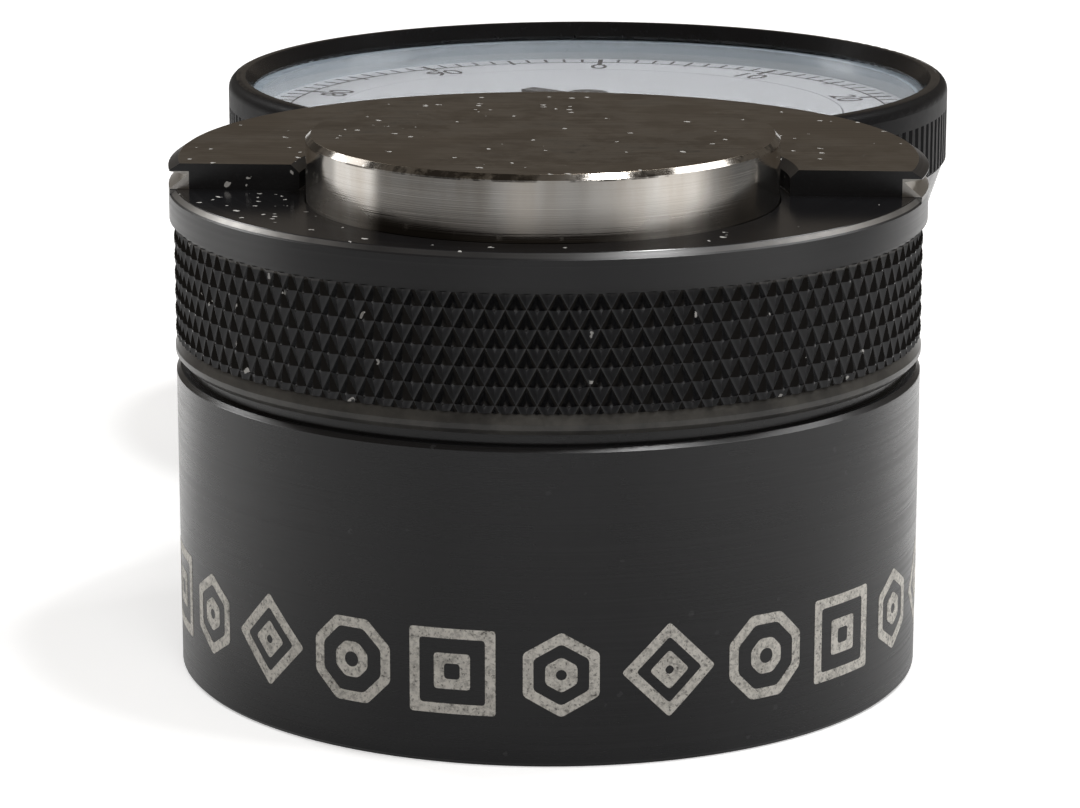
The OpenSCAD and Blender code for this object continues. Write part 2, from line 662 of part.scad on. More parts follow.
// The indicator's cup with its shoulder, shelf, stem boss and cover screw bosses
module indicator_case() {
    top_z = shelf_z + shelf_t + bezel_below * 0.25;
    shelf_top_z = shelf_z + shelf_t;
    hub_top_z = dial_z - dial_t;
    outer_r = bezel_r - run_fit * 6;
    boss_r = clamp_stem_r * 1.7;
    color("#202022") difference() {
        union() {
            translate([0, dial_back, 0]) difference() {
                rotate_extrude() polygon([[0, case_z], [case_r - edge_break, case_z],
                    [case_r, case_z + edge_break], [case_r, bezel_z - shoulder_h], [outer_r, shelf_z],
                    [guide_r - run_fit, shelf_z], [guide_r - run_fit, top_z], [seat_r - rim_w, top_z],
                    [seat_r - rim_w, shelf_top_z], [dial_inner_r, shelf_top_z], [dial_inner_r, hub_top_z],
                    [0, hub_top_z]]);
                translate([0, 0, case_z - overrun])
                    cylinder(r = case_inner_r, h = shelf_z - case_z + overrun);
                cylinder(r = dial_inner_r - rim_w, h = datum_h);
                ring(bezel_r, guide_r - run_fit - retainer_w, retainer_z, retainer_w);
            }
            along_y(boss_r, dial_back - case_r, dial_back - case_inner_r + case_wall);
            along_y(boss_r, dial_back + case_inner_r - case_wall, case_rear_y);
            intersection() {
                translate([0, dial_back, case_z + cover_t]) on_ring(4, cover_ring_r, 45)
                    cylinder(d = base_screw_d * 2.2, h = case_below);
                translate([0, dial_back, 0]) cylinder(r = case_inner_r + case_wall / 2, h = datum_h);
            }
        }
        translate([0, dial_back, case_z - overrun])
            cylinder(r = case_inner_r + case_wall / 2, h = cover_t + overrun);
        // Spot faces in the shoulder for the stem's collar and the rear cap
        along_y(boss_r, dial_back - bezel_r, dial_back - case_r);
        along_y(boss_r, case_rear_y, dial_back + bezel_r);
        along_y(clamp_stem_r, dial_back - case_r - overrun, stem_inner_y);
        along_y(clamp_stem_r, rear_bush_y - overrun, case_rear_y + overrun);
        translate([0, dial_back, case_z]) on_ring(4, cover_ring_r, 45)
            cylinder(d = plate_screw_d, h = case_below);
        translate([0, dial_back, shelf_z - overrun]) on_ring(3, plate_screw_ring_r, 90)
            cylinder(d = plate_screw_d, h = shelf_t + overrun);
    }
}

// The clamping stem, screwed into the case and bored for the spindle
module indicator_stem() {
    color("#a9a9ac") difference() {
        union() {
            along_y(clamp_stem_r, stem_front_y, stem_inner_y - stop_gap);
            along_y(clamp_stem_r * 1.4, collar_stem_y, dial_back - case_r);
        }
        along_y(spindle_r + run_fit, stem_front_y - overrun, dial_back);
    }
}

module back_cover() {
    color("#2a2a2c") translate([0, dial_back, case_z]) difference() {
        cylinder(r = case_inner_r + case_wall / 2 - run_fit, h = cover_t);
        on_ring(4, cover_ring_r, 45) flush_hole(plate_screw_d, cover_t + overrun);
    }
}

module cover_screws() {
    color("#8a8a8d") translate([0, dial_back, case_z]) on_ring(4, cover_ring_r, 45)
        flush_screw(plate_screw_d, case_below * 0.9);
}

module rear_bush() {
    color("#b08a45") difference() {
        along_y(clamp_stem_r, rear_bush_y, spindle_end_y);
        along_y(spindle_r + run_fit, rear_bush_y - overrun, spindle_end_y + overrun);
    }
}

// The screwed cap over the spindle's rear end
module spindle_cap() {
    cap_r = clamp_stem_r * 1.45;
    color("#9a9a9d") difference() {
        union() {
            along_y(cap_r, case_rear_y, cap_end_y - edge_break);
            along_y(cap_r - edge_break, cap_end_y - edge_break * 2, cap_end_y);
        }
        along_y(clamp_stem_r, case_rear_y - overrun, spindle_end_y + stop_gap);
        along_y(spindle_r + pass_gap, case_rear_y, cap_end_y - case_wall / 2);
    }
}

// Hole in a movement plate for an arbor
module arbor_hole(dx, dy, r) {
    translate([dx, dy, -overrun]) cylinder(r = r, h = datum_h);
}

module arbor_holes() {
    arbor_hole(rack_x, -rack_dy, arbor_r + run_fit);
    arbor_hole(0, 0, arbor_r + run_fit);
    arbor_hole(-rack_x, rack_dy, arbor_r + run_fit);
}

module at_pillars() {
    for (p = pillar_shares) translate([p[0], p[1], 0] * lower_plate_r) children();
}

module lower_plate() {
    color("#b59a5a") translate([0, dial_back, 0]) difference() {
        translate([0, 0, lower_plate_z]) cylinder(r = lower_plate_r, h = plate_t);
        arbor_holes();
        at_pillars() cylinder(d = plate_screw_d / 2, h = datum_h);
    }
}

module upper_plate() {
    color("#b59a5a") translate([0, dial_back, 0]) difference() {
        translate([0, 0, upper_plate_z]) cylinder(r = upper_plate_r, h = plate_t);
        arbor_holes();
        on_ring(3, plate_screw_ring_r, 90) cylinder(d = plate_screw_d + run_fit * 2, h = datum_h);
    }
}

module plate_pillars() {
    color("#c8b06a") translate([0, dial_back, 0]) at_pillars() {
        translate([0, 0, lower_plate_z + plate_t])
            cylinder(d = pillar_d, h = upper_plate_z - lower_plate_z - plate_t);
        translate([0, 0, lower_plate_z]) cylinder(d = plate_screw_d / 2, h = plate_t + overrun);
    }
}

module plate_screws() {
    color("#6d6d70") translate([0, dial_back, upper_plate_z]) on_ring(3, plate_screw_ring_r, 90)
        rotate([180, 0, 0]) cap_screw(plate_screw_d, plate_t + shelf_t * 0.9);
}

// The rack spindle, flat and toothed on its left side
module spindle() {
    start_y = tip_y + spindle_d * 1.4;
    flat_x = rack_line + rack_module * addendum_share;
    tooth = tooth_width(rack_module, addendum_share);
    root = tooth_width(rack_module, -dedendum_share);
    reach = anvil_travel + rack_pitch * 3;
    color("#b4b4b7") difference() {
        along_y(spindle_r, start_y, spindle_end_y);
        translate([-flat_x - spindle_d, rack_y - reach, axis_z - spindle_d])
            cube([spindle_d, reach + rack_pitch * 3, spindle_d * 2]);
        for (i = [-floor(reach / rack_pitch) : 2])
            translate([0, rack_y + i * rack_pitch, axis_z - spindle_d]) linear_extrude(spindle_d * 2)
                polygon([[-flat_x - overrun, -(rack_pitch - tooth) / 2], [-flat_x, -(rack_pitch - tooth) / 2],
                    [-rack_line + rack_module * dedendum_share, -(rack_pitch - root) / 2],
                    [-rack_line + rack_module * dedendum_share, (rack_pitch - root) / 2],
                    [-flat_x, (rack_pitch - tooth) / 2], [-flat_x - overrun, (rack_pitch - tooth) / 2]]);
        translate([-overrun * 2, pin_y, axis_z]) rotate([0, 90, 0]) cylinder(r = pin_r, h = spring_x);
    }
}

// The flat contact point screwed into the spindle's front end
module contact_point() {
    start_y = tip_y + spindle_d * 1.4;
    color("#d2d2d5") union() {
        along_y(spindle_r, tip_y, tip_y + spindle_d * 0.4);
        along_y(spindle_r * 0.75, tip_y, start_y);
    }
}

// The cross pin that keeps the spindle from turning and holds its spring
module spindle_pin() {
    color("#c5c5c8") translate([-overrun * 2, pin_y, axis_z]) rotate([0, 90, 0])
        cylinder(r = pin_r, h = spring_x + return_spring_r * 2 + overrun * 2);
}

module return_spring() {
    pin_side = pin_y - pin_r - stop_gap;
    post_side = post_y + pin_r * 2 + stop_gap;
    color("#aaaaad") translate([spring_x + return_spring_r, post_side, axis_z]) rotate([-90, 0, 0])
        coil(return_spring_r, return_wire / 2, pin_side - post_side, return_turns, 8);
}

module spring_post() {
    color("#99999c") translate([spring_x + return_spring_r, post_y, case_z + cover_t])
        cylinder(r = pin_r * 2, h = case_below - cover_t + return_spring_r * 2);
}

// The slotted block that guides the cross pin
module guide_fork() {
    block_x = spindle_r + pass_gap;
    block_w = spring_x - block_x - pass_gap;
    slot = (pin_r + run_fit) * 2;
    length = anvil_travel + pin_r * 8;
    color("#8c8c8f") difference() {
        translate([block_x, pin_y - pin_r * 4, case_z + cover_t])
            cube([block_w, length, case_below - cover_t + spindle_r]);
        translate([block_x - overrun, pin_y - pin_r * 2, axis_z - slot / 2])
            cube([block_w + 2 * overrun, length - pin_r * 4, slot]);
    }
}

module rack_arbor() {
    low_z = axis_z - spindle_r;
    color("#bcbcbf") translate([rack_x, rack_y, 0]) {
        translate([0, 0, low_z]) linear_extrude(spindle_d) polygon(gear_points(rack_teeth, rack_module));
        translate([0, 0, low_z]) cylinder(r = arbor_r, h = hand_z - low_z);
    }
}

// A spoked gear with a hub on its arbor
module spoked_gear(turn) {
    rim = gear_teeth * gear_module / 2 * 0.84;
    hub = arbor_d * 1.25;
    spoke = arbor_d * 1.1;
    rotate(turn) linear_extrude(gear_t) difference() {
        polygon(gear_points(gear_teeth, gear_module));
        circle(arbor_r);
        difference() {
            circle(rim);
            circle(hub);
            for (a = [0 : 120 : 240]) rotate(a) translate([0, -spoke / 2]) square([rim, spoke]);
        }
    }
}

module rack_gear() {
    color("#c9ad5c") translate([rack_x, rack_y, gear_z]) spoked_gear(mesh_dir);
}

module takeup_gear() {
    color("#c9ad5c") translate([-rack_x, dial_back + rack_dy, 0]) {
        translate([0, 0, gear_z]) spoked_gear(takeup_turn);
        translate([0, 0, lower_plate_z]) cylinder(r = arbor_r, h = upper_plate_z + plate_t - lower_plate_z);
    }
}

module centre_arbor() {
    color("#bcbcbf") translate([0, dial_back, 0]) {
        translate([0, 0, gear_z - gear_t / 2]) rotate(centre_turn) linear_extrude(pinion_h)
            polygon(gear_points(pinion_teeth, gear_module));
        translate([0, 0, lower_plate_z]) cylinder(r = gear_module * 3.5, h = pointer_z - lower_plate_z);
    }
}

// The flat spiral that keeps the gear train on one flank
module hairspring() {
    inner = arbor_r + pass_gap;
    step = return_wire * 2.4;
    strip = return_wire / 2;
    z = gear_z + gear_t + pass_gap;
    function spiral(side) = [for (i = [0 : hair_turns * 24])
        let (a = i * 15, r = inner + step * i / 24 + side * strip) [r * cos(a), r * sin(a)]];
    outer = spiral(1);
    count = len(outer);
    inside = spiral(0);
    color("#5f6f8f") translate([-rack_x, dial_back + rack_dy, z]) linear_extrude(gear_t)
        polygon(concat(outer, [for (i = [count - 1 : -1 : 0]) inside[i]]));
}

module counter_hand() {
    turn = 90 - 360 * anvil_rise / turn_travel;
    color("#17171a") translate([rack_x, rack_y, hand_z]) rotate(turn) {
        cylinder(r = arbor_r * 1.4, h = hand_t);
        linear_extrude(hand_t) polygon([[-hand_l * 0.3, -arbor_r / 2], [-hand_l * 0.3, arbor_r / 2],
            [hand_l * 0.6, arbor_r / 2], [hand_l, 0], [hand_l * 0.6, -arbor_r / 2]]);
    }
}

// The long hand, which stands at the top of the dial when the anvil is level with the face
module pointer() {
    turn = 90 + 360 * anvil_rise / pointer_travel;
    tail = pointer_l * 0.27;
    blade = arbor_r * 1.1;
    color("#101012") translate([0, dial_back, pointer_z]) rotate(turn) {
        cylinder(r = arbor_r * 3, h = hand_t * 2);
        linear_extrude(hand_t) polygon([[-tail, -blade * 1.3], [-tail, blade * 1.3], [0, blade],
            [pointer_l * 0.75, blade * 0.6], [pointer_l, blade * 0.1], [pointer_l, -blade * 0.1],
            [pointer_l * 0.75, -blade * 0.6], [0, -blade]]);
    }
}

// The fixed inner dial with the turn counter's hole
module dial_face() {
    color("#f2f2f4") translate([0, dial_back, dial_z - dial_t]) difference() {
        cylinder(r = dial_inner_r, h = dial_t);
        arbor_hole(0, 0, arbor_r * 1.6);
        arbor_hole(rack_x, -rack_dy, arbor_r * 1.6);
    }
}

// The graduated ring, which turns with the bezel
module dial_ring() {
    color("#ececef") translate([0, dial_back, 0])
        ring(seat_r, dial_inner_r + ball_gap, dial_z - dial_t, dial_t);
}

module spacer_ring() {
    color("#c2c6ca") translate([0, dial_back, 0])
        ring(seat_r, rim_r - retainer_w, dial_z, crystal_z - dial_z);
}

module crystal() {
    color([0.85, 0.92, 0.95, 0.3]) translate([0, dial_back, crystal_z]) cylinder(r = seat_r, h = crystal_t);
}

// The fluted bezel with its bevelled inner lip and rounded outer edge
module bezel() {
    round_r = rim_w * 0.5;
    lip_z = crystal_top_z;
    flute_top_z = bezel_z + (bezel_top_z - bezel_z) * flute_height_share;
    color("#18181a") translate([0, dial_back, 0]) difference() {
        rotate_extrude() union() {
            polygon([[guide_r, bezel_z], [bezel_r - edge_break / 2, bezel_z],
                [bezel_r, bezel_z + edge_break / 2], [bezel_r, bezel_top_z - round_r],
                [bezel_r - round_r, bezel_top_z - round_r], [bezel_r - round_r, bezel_top_z],
                [rim_r + rim_w * 0.3, bezel_top_z], [rim_r, lip_z + rim_w * 0.1], [rim_r, lip_z],
                [seat_r, lip_z], [seat_r, dial_z - dial_t], [guide_r, dial_z - dial_t]]);
            translate([bezel_r - round_r, bezel_top_z - round_r]) intersection() {
                circle(round_r);
                translate([-round_r / 4, -round_r / 4]) square(round_r * 1.25);
            }
        }
        ring(guide_r + retainer_w, guide_r - retainer_w, retainer_z - run_fit, retainer_w + run_fit * 2);
        translate([0, 0, bezel_z - overrun]) linear_extrude(flute_top_z - bezel_z + overrun) difference() {
            circle(bezel_r + overrun);
            polygon([for (i = [0 : flute_count - 1], p = flute_shares)
                let (a = (i + p[1]) * 360 / flute_count, r = bezel_r + p[0] * flute_depth)
                [r * cos(a), r * sin(a)]]);
        }
    }
}

// The split wire ring that holds the bezel on the case
module bezel_retainer() {
    color("#a0a0a3") translate([0, dial_back, 0]) difference() {
        ring(guide_r + retainer_w - run_fit, guide_r - run_fit - retainer_w, retainer_z, retainer_w);
        translate([-rim_w, 0, retainer_z - overrun]) cube([rim_w * 2, bezel_d, retainer_w + 2 * overrun]);
    }
}

housing();
head();
base_plate();
base_screws();
base_magnets();
upper_bush();
lower_bush();
wiper_seal();
crank_bracket();
bracket_screws();
crank_pin();
pin_clips();
stem_clamp_screw();
anvil();
stop_collar();
collar_pin();
anvil_spring();
bell_crank();
indicator_case();
indicator_stem();
back_cover();
cover_screws();
rear_bush();
spindle_cap();
lower_plate();
upper_plate();
plate_pillars();
plate_screws();
spring_post();
guide_fork();
spindle();
contact_point();
spindle_pin();
return_spring();
hairspring();
rack_arbor();
rack_gear();
counter_hand();
centre_arbor();
pointer();
takeup_gear();
dial_face();
dial_ring();
spacer_ring();
crystal();
bezel();
bezel_retainer();
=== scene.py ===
import json
import math

import bmesh
import bpy
from bpy.props import FloatProperty, FloatVectorProperty, IntProperty, PointerProperty
from mathutils import Matrix, Vector


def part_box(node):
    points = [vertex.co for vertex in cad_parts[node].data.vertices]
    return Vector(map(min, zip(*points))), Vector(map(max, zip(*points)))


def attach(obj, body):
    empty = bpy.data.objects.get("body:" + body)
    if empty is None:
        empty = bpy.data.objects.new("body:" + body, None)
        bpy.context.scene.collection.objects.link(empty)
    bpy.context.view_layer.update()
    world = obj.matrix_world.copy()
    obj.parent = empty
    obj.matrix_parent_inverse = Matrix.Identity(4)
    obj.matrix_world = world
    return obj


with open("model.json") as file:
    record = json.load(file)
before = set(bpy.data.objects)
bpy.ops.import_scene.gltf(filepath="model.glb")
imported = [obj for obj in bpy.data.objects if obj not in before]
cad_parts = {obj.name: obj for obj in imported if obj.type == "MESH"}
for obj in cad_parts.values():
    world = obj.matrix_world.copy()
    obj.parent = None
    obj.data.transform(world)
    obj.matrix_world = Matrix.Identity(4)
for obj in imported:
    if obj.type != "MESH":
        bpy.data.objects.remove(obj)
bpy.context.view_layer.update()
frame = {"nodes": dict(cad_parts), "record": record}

bl_info = {
    "name": "Tool length setter",
    "version": (1, 0, 0),
    "blender": (4, 5, 0),
    "location": "3D View > Sidebar > Setter",
    "description": "Finishes a tool length setter: surfaces, knurl, marks, dial print and stage",
    "category": "Object",
}

MM = 0.001
# Layer on the knurling's faces that tells which ones face down; the knurling's finish paints these paler as
# painted light
UNDERSIDE = "underside"

# Each table of sectors gives directions in degrees from the front, and a level from 0 to 1 there

# How pale the object mirrors the floor close to it, as its lower sides see it
NEAR_SECTORS = (
    (-180, 1.0), (-128, 1.0), (-112, 0.6), (-86, 0.62), (-50, 0.38), (-25, 0.26), (22, 0.26), (50, 0.42),
    (80, 0.56), (104, 0.6), (124, 1.0), (180, 1.0),
)
# How pale it mirrors the floor further out, as the sensing disc sees it
FAR_SECTORS = (
    (-180, 0.9), (-160, 0.9), (-145, 0.6), (-133, 0.42), (-114, 0.5), (-108, 1.0), (-83, 1.0), (-77, 0.2),
    (-45, 0.14), (-24, 0.09), (-9, 0.17), (-3, 0.17), (5, 0.12), (20, 0.14), (34, 0.3), (48, 0.65), (60, 1.0),
    (76, 1.0), (88, 0.3), (104, 0.1), (124, 0.1), (142, 0.9), (180, 0.9),
)
# How far a painted dark reflection covers the foot of the sensing disc's side
DARK_REFLECTION_SECTORS = (
    (-180, 0.5), (-70, 0.6), (-50, 0.0), (-43, 0.15), (-38, 1.0), (-20, 1.0), (-10, 0.8), (20, 0.75),
    (27, 0.1), (38, 0.1), (46, 0.8), (180, 0.5),
)
# How far that foot is made matt and less metallic, so that it catches the lamps where the highlights run down
# to it: a painted highlight
FOOT_HIGHLIGHT_SECTORS = (
    (-180, 0.3), (-95, 0.3), (-72, 0.6), (-46, 0.9), (-37, 0.0), (14, 0.0), (30, 0.75), (42, 0.75),
    (56, 0.1), (180, 0.3),
)
# How bare the edges of the head's ledge and of the knurling's top rim are worn, round the axis: partly wear,
# partly a painted highlight where the lamps catch them
EDGE_WEAR_AND_HIGHLIGHT_SECTORS = (
    (-180, 0.3), (-66, 0.3), (-58, 0.6), (-42, 0.6), (-34, 0.22), (-22, 0.05), (24, 0.05), (36, 0.3),
    (56, 0.5), (70, 0.3), (180, 0.3),
)
# Etched marks: sides, turn in radians and share of the mark's height
MARK_KINDS = ((4, math.pi / 4, 1.42), (6, 0.0, 1.0), (4, 0.0, 1.12), (8, math.pi / 8, 1.08))
MARK_CORE_SHARE = 0.42
# Lamps: place and aim in metres, width, beam in degrees, and the share of the light that shiny faces mirror
BODY_AIM = (0, 0.04, 0.04)
LAMPS = {
    "left": ((-0.66, 0.47, 0.6), BODY_AIM, 0.24, 180, 0.36),
    "top": ((0.31, -0.1, 0.98), BODY_AIM, 0.12, 180, 1.0),
    "right": ((0.62, 0.3, 0.76), BODY_AIM, 0.3, 180, 0.5),
    "front": ((0.12, -0.62, 0.62), (0, -0.12, 0), 0.4, 180, 0.0),
    "floor": ((0.08, -0.44, 0.7), (0, -0.38, 0), 0.2, 45, 0.0),
}

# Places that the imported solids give, in metres
HEAD_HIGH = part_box("head")[1]
ANVIL_LOW, ANVIL_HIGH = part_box("anvil")
RING_LOW, RING_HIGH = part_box("dial_ring")
COUNTER_LOW, COUNTER_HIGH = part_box("rack_gear")
FLANGE_R = HEAD_HIGH.x
HOUSING_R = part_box("housing")[1].x
BEZEL_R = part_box("bezel")[1].x
DIAL_CENTRE = Vector((0, (RING_LOW.y + RING_HIGH.y) / 2, RING_HIGH.z))
COUNTER_CENTRE = (COUNTER_LOW + COUNTER_HIGH) / 2
COUNTER_CENTRE.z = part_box("dial_face")[1].z
ANVIL_CENTRE = Vector((0, (ANVIL_LOW.y + ANVIL_HIGH.y) / 2, ANVIL_HIGH.z))


def length(name, text, default):
    """A size in metres with a default written in millimetres."""
    return FloatProperty(name=name, description=text, default=default * MM, unit="LENGTH", precision=5)


def colour(name, text, default):
    """A linear colour."""
    return FloatVectorProperty(name=name, description=text, default=default, subtype="COLOR", size=3,
        min=0, max=1)


def angle(name, text, default):
    """An angle in radians with a default written in degrees."""
    return FloatProperty(name=name, description=text, default=math.radians(default), unit="ROTATION")


def watts(name, text, default):
    """A lamp's power."""
    return FloatProperty(name=name, description=text, default=default, min=0, subtype="POWER")


class SETTER_knurl_sizes(bpy.types.PropertyGroup):
    starts: IntProperty(name="Starts", description="Grooves each way round the band", default=120, min=12)
    tip_r: length("Tip radius", "Radius over the points", 36.14)
    root_r: length("Root radius", "Radius at the bottom of the grooves", 35.77)
    core_r: length("Core radius", "Radius of the band's hidden inner face", 35.45)
    period: length("Period", "Height of one diamond", 3.48)
    phase: FloatProperty(name="Phase", description="Half diamonds cut off at the bottom", default=0.6, min=0)
    low_z: length("Bottom", "Lower end of the band", 32.9)
    high_z: length("Top", "Upper end of the band", 43.75)
    tip_flat: length("Tip flat", "Width left flat on a point", 0.16)
    # The worn rim is partly wear and partly a painted highlight, set round the axis where the lamps catch it
    rim: length("Rim", "Height of the worn rim at the top", 0.3)
    rim_full: length("Full rim", "Height of the rim that is worn most", 0.15)


class SETTER_mark_sizes(bpy.types.PropertyGroup):
    count: IntProperty(name="Count", description="Marks along the band", default=11, min=1)
    height: length("Height", "Height of a mark", 8)
    stroke: length("Stroke", "Width of an etched line", 0.95)
    centre_z: length("Centre height", "Height of the marks' centres", 8.8)
    lift: length("Lift", "Thickness of the etched skin", 0.02)
    first: angle("First", "Direction of the first mark from the front", -74)
    last: angle("Last", "Direction of the last mark from the front", 84)


class SETTER_dial_sizes(bpy.types.PropertyGroup):
    divisions: IntProperty(name="Divisions", description="Divisions round the dial", default=100, min=10)
    tick_r: length("Tick radius", "Outer end of the ticks", 37.9)
    tick: length("Tick", "Length of a short tick", 2.4)
    tick_five: length("Middle tick", "Length of every fifth tick", 3.2)
    tick_ten: length("Long tick", "Length of every tenth tick", 3.9)
    tick_w: length("Tick width", "Width of a short tick", 0.34)
    number_r: length("Number radius", "Radius of the numbers' centres", 32.1)
    number_h: length("Number height", "Height of a number", 3.3)
    ink: length("Ink", "Thickness of the printed ink", 0.02)
    turns: IntProperty(name="Turns", description="Divisions of the turn counter", default=10, min=2)
    counter_r: length("Counter radius", "Outer end of the turn counter's ticks", 7)
    counter_tick: length("Counter tick", "Length of the turn counter's ticks", 1)
    counter_number_r: length("Counter number radius", "Radius of the counter's numbers", 8.3)
    counter_number_h: length("Counter number height", "Height of the counter's numbers", 2)
    line: length("Scale line", "Width of the circles on the dial", 0.22)


class SETTER_wear_sizes(bpy.types.PropertyGroup):
    skin: length("Skin", "Depth to which a flat face has its own finish", 0.02)
    ledge_drop: length("Ledge drop", "Step from the reference face down to the ledge", 2.5)
    ledge_sink: length("Ledge sink", "Depth to which the ledge shines", 0.05)
    ledge_rise: length("Ledge rise", "Height to which the ledge shines", 0.1)
    groove_top: length("Groove top", "Step from the reference face down to the bare groove", 0.76)
    groove_in: length("Groove depth", "Depth of the bare groove from the rim", 1.8)
    # The worn edge is partly wear and partly a painted highlight, set round the axis where the lamps catch it
    edge_top: length("Edge top", "Step from the ledge down to its worn edge", 0.08)
    edge_foot: length("Edge foot", "Step from the ledge down to the foot of its worn edge", 0.45)
    edge_in: length("Edge depth", "Depth of the worn edge from the rim", 0.63)
    chip_foot: length("Chip foot", "Depth below the ledge to which chips lie", 0.1)
    heap_at: FloatVectorProperty(name="Heap", description="Middle of the heap of chips on the ledge", size=2,
        subtype="TRANSLATION", default=(-26 * MM, -17 * MM))
    heap_core: length("Heap core", "Radius in which the chips lie densest", 4)
    heap_reach: length("Heap reach", "Radius to which the chips spread", 14)
    disc_edge: length("Disc edge", "Height of the sensing disc's stained chamfer", 0.66)
    # Where the painted dark reflection at the sensing disc's foot is full and where it ends
    film_foot: length("Oil foot", "Depth below the reference face where the oil is full", 1.4)
    film_top: length("Oil top", "Height above the reference face where the oil ends", 2.2)
    # Where the painted highlight at the sensing disc's foot is full and where it ends
    haze_foot: length("Haze foot", "Depth below the reference face where the haze is full", 3.2)
    haze_top: length("Haze top", "Height above the reference face where the haze ends", 2.6)
    bezel_side: length("Bezel side", "Depth of the bezel's dull side from its rim", 0.9)


class SETTER_colours(bpy.types.PropertyGroup):
    oxide: colour("Black oxide", "Blackened steel", (0.009, 0.0092, 0.0108))
    # Also painted on the knurling's facets that face down, as painted light
    oxide_worn: colour("Worn oxide", "Blackened steel where it is rubbed", (0.03, 0.0305, 0.033))
    ground: colour("Ground steel", "Ground faces", (0.38, 0.327, 0.267))
    ground_dull: colour("Dull ground steel", "Stains on ground faces", (0.19, 0.162, 0.132))
    bare: colour("Bare steel", "Freshly turned steel", (0.56, 0.54, 0.51))
    dust: colour("Dust", "Dust in the notch under the knurling", (0.1, 0.095, 0.085))
    stain: colour("Stain", "Dark stains on ground faces", (0.02, 0.017, 0.013))
    chips: colour("Chips", "Tiny metal chips lying on the faces", (0.64, 0.63, 0.61))
    # Painted dark reflection at the foot of the sensing disc's side, and real stains on its chamfer
    oil: colour("Oil film", "Oil and grime on the sensing disc's side", (0.09, 0.08, 0.07))
    etched: colour("Etched marks", "Etched marks", (0.86, 0.83, 0.77))
    # Painted shade: near-black colour of the knurling's grooves and of its facets that face up
    groove: colour("Groove", "Bottom of the knurling's grooves", (0.003, 0.003, 0.0036))
    machined: colour("Machined steel", "Plain steel parts inside", (0.5, 0.49, 0.48))
    stock: colour("Round stock", "Ground round stock of stem and spindle", (0.56, 0.55, 0.53))
    screw: colour("Screw steel", "Dark screws and pins", (0.16, 0.16, 0.17))
    nickel: colour("Nickel", "Plated magnets", (0.66, 0.65, 0.62))
    wire: colour("Spring wire", "Drawn wire of the springs", (0.42, 0.41, 0.4))
    rubber: colour("Rubber", "Seal", (0.012, 0.012, 0.012))
    crystal: colour("Crystal", "Tint of the crystal", (0.97, 0.985, 1.0))
    crystal_pass: colour("Crystal pass", "Lamplight that the crystal lets through", (0.98, 0.985, 0.99))
    enamel: colour("Enamel", "Black enamel", (0.007, 0.007, 0.008))
    dial: colour("Dial", "White dial", (0.86, 0.88, 0.92))
    spacer: colour("Spacer", "Grey ring under the crystal", (0.62, 0.67, 0.71))
    brass: colour("Brass", "Movement plates and gears", (0.62, 0.45, 0.17))
    bronze: colour("Bronze", "Guide bushes", (0.46, 0.31, 0.13))
    ink: colour("Ink", "Printing on the dial", (0.012, 0.012, 0.014))
    surroundings: colour("Surroundings", "Dim warm light from all round", (0.114, 0.1, 0.084))
    floor: colour("Floor", "Floor of the stage", (0.86, 0.86, 0.86))
    floor_glow: colour("Floor glow", "Light that the camera sees the floor give", (0.5, 0.5, 0.5))


class SETTER_stage_sizes(bpy.types.PropertyGroup):
    floor_w: length("Floor", "Width of the floor", 6000)
    sector_near: length("Near sectors", "Distance to which the near sectors reach", 215)
    sector_far: length("Far sectors", "Distance from which the far sectors reach", 275)
    floor_near: length("Near floor", "Distance to which the lamps alone light the floor", 300)
    floor_far: length("Far floor", "Distance from which the floor is white", 1200)
    mirrored_glow: FloatProperty(name="Mirrored glow", default=0.42, min=0, max=1,
        description="Share of the sectors' level that the floor gives as light of its own")
    camera_at: FloatVectorProperty(name="Camera", description="Place of the camera", subtype="TRANSLATION",
        default=(19.997 * MM, -371.111 * MM, 116.856 * MM))
    aim: FloatVectorProperty(name="Aim", description="Point that the camera looks at", subtype="TRANSLATION",
        default=(-0.807 * MM, -0.045 * MM, 24.979 * MM))
    roll: angle("Roll", "Turn of the camera about its view", 0.045)
    lens: FloatProperty(name="Lens", description="Focal length in millimetres", default=130.443)
    left_power: watts("Left lamp", "Power of the left lamp", 3.4)
    top_power: watts("Top lamp", "Power of the top lamp", 2.8)
    right_power: watts("Right lamp", "Power of the right lamp", 2.8)
    front_power: watts("Front lamp", "Power of the front lamp", 1.6)
    floor_power: watts("Floor lamp", "Power of the lamp over the floor", 1.0)


class Signal:
    """A shader socket on which sums are written as plain expressions."""

    def __init__(self, finish, socket):
        self.finish = finish
        self.socket = socket

    def maths(self, operation, *others, clamp=False):
        return self.finish.node("ShaderNodeMath", {"operation": operation, "use_clamp": clamp}, self, *others)

    def __add__(self, other):
        return self.maths("ADD", other)

    def __radd__(self, other):
        return self.maths("ADD", other)

    def __sub__(self, other):
        return self.maths("SUBTRACT", other)

    def __rsub__(self, other):
        return (self * -1) + other

    def __mul__(self, other):
        return self.maths("MULTIPLY", other)

    def __rmul__(self, other):
        return self.maths("MULTIPLY", other)

    def __truediv__(self, other):
        return self.maths("DIVIDE", other)

    def __rtruediv__(self, other):
        return (self ** -1) * other

    def __pow__(self, other):
        return self.maths("POWER", other)

    def __gt__(self, other):
        return self.maths("GREATER_THAN", other)

    def __lt__(self, other):
        return self.maths("LESS_THAN", other)

    def rise(self, low, high):
        """0 below low, 1 above high, smooth between them."""
        smooth = {"interpolation_type": "SMOOTHSTEP"}
        return self.finish.node("ShaderNodeMapRange", smooth, self, low, high, 0.0, 1.0)


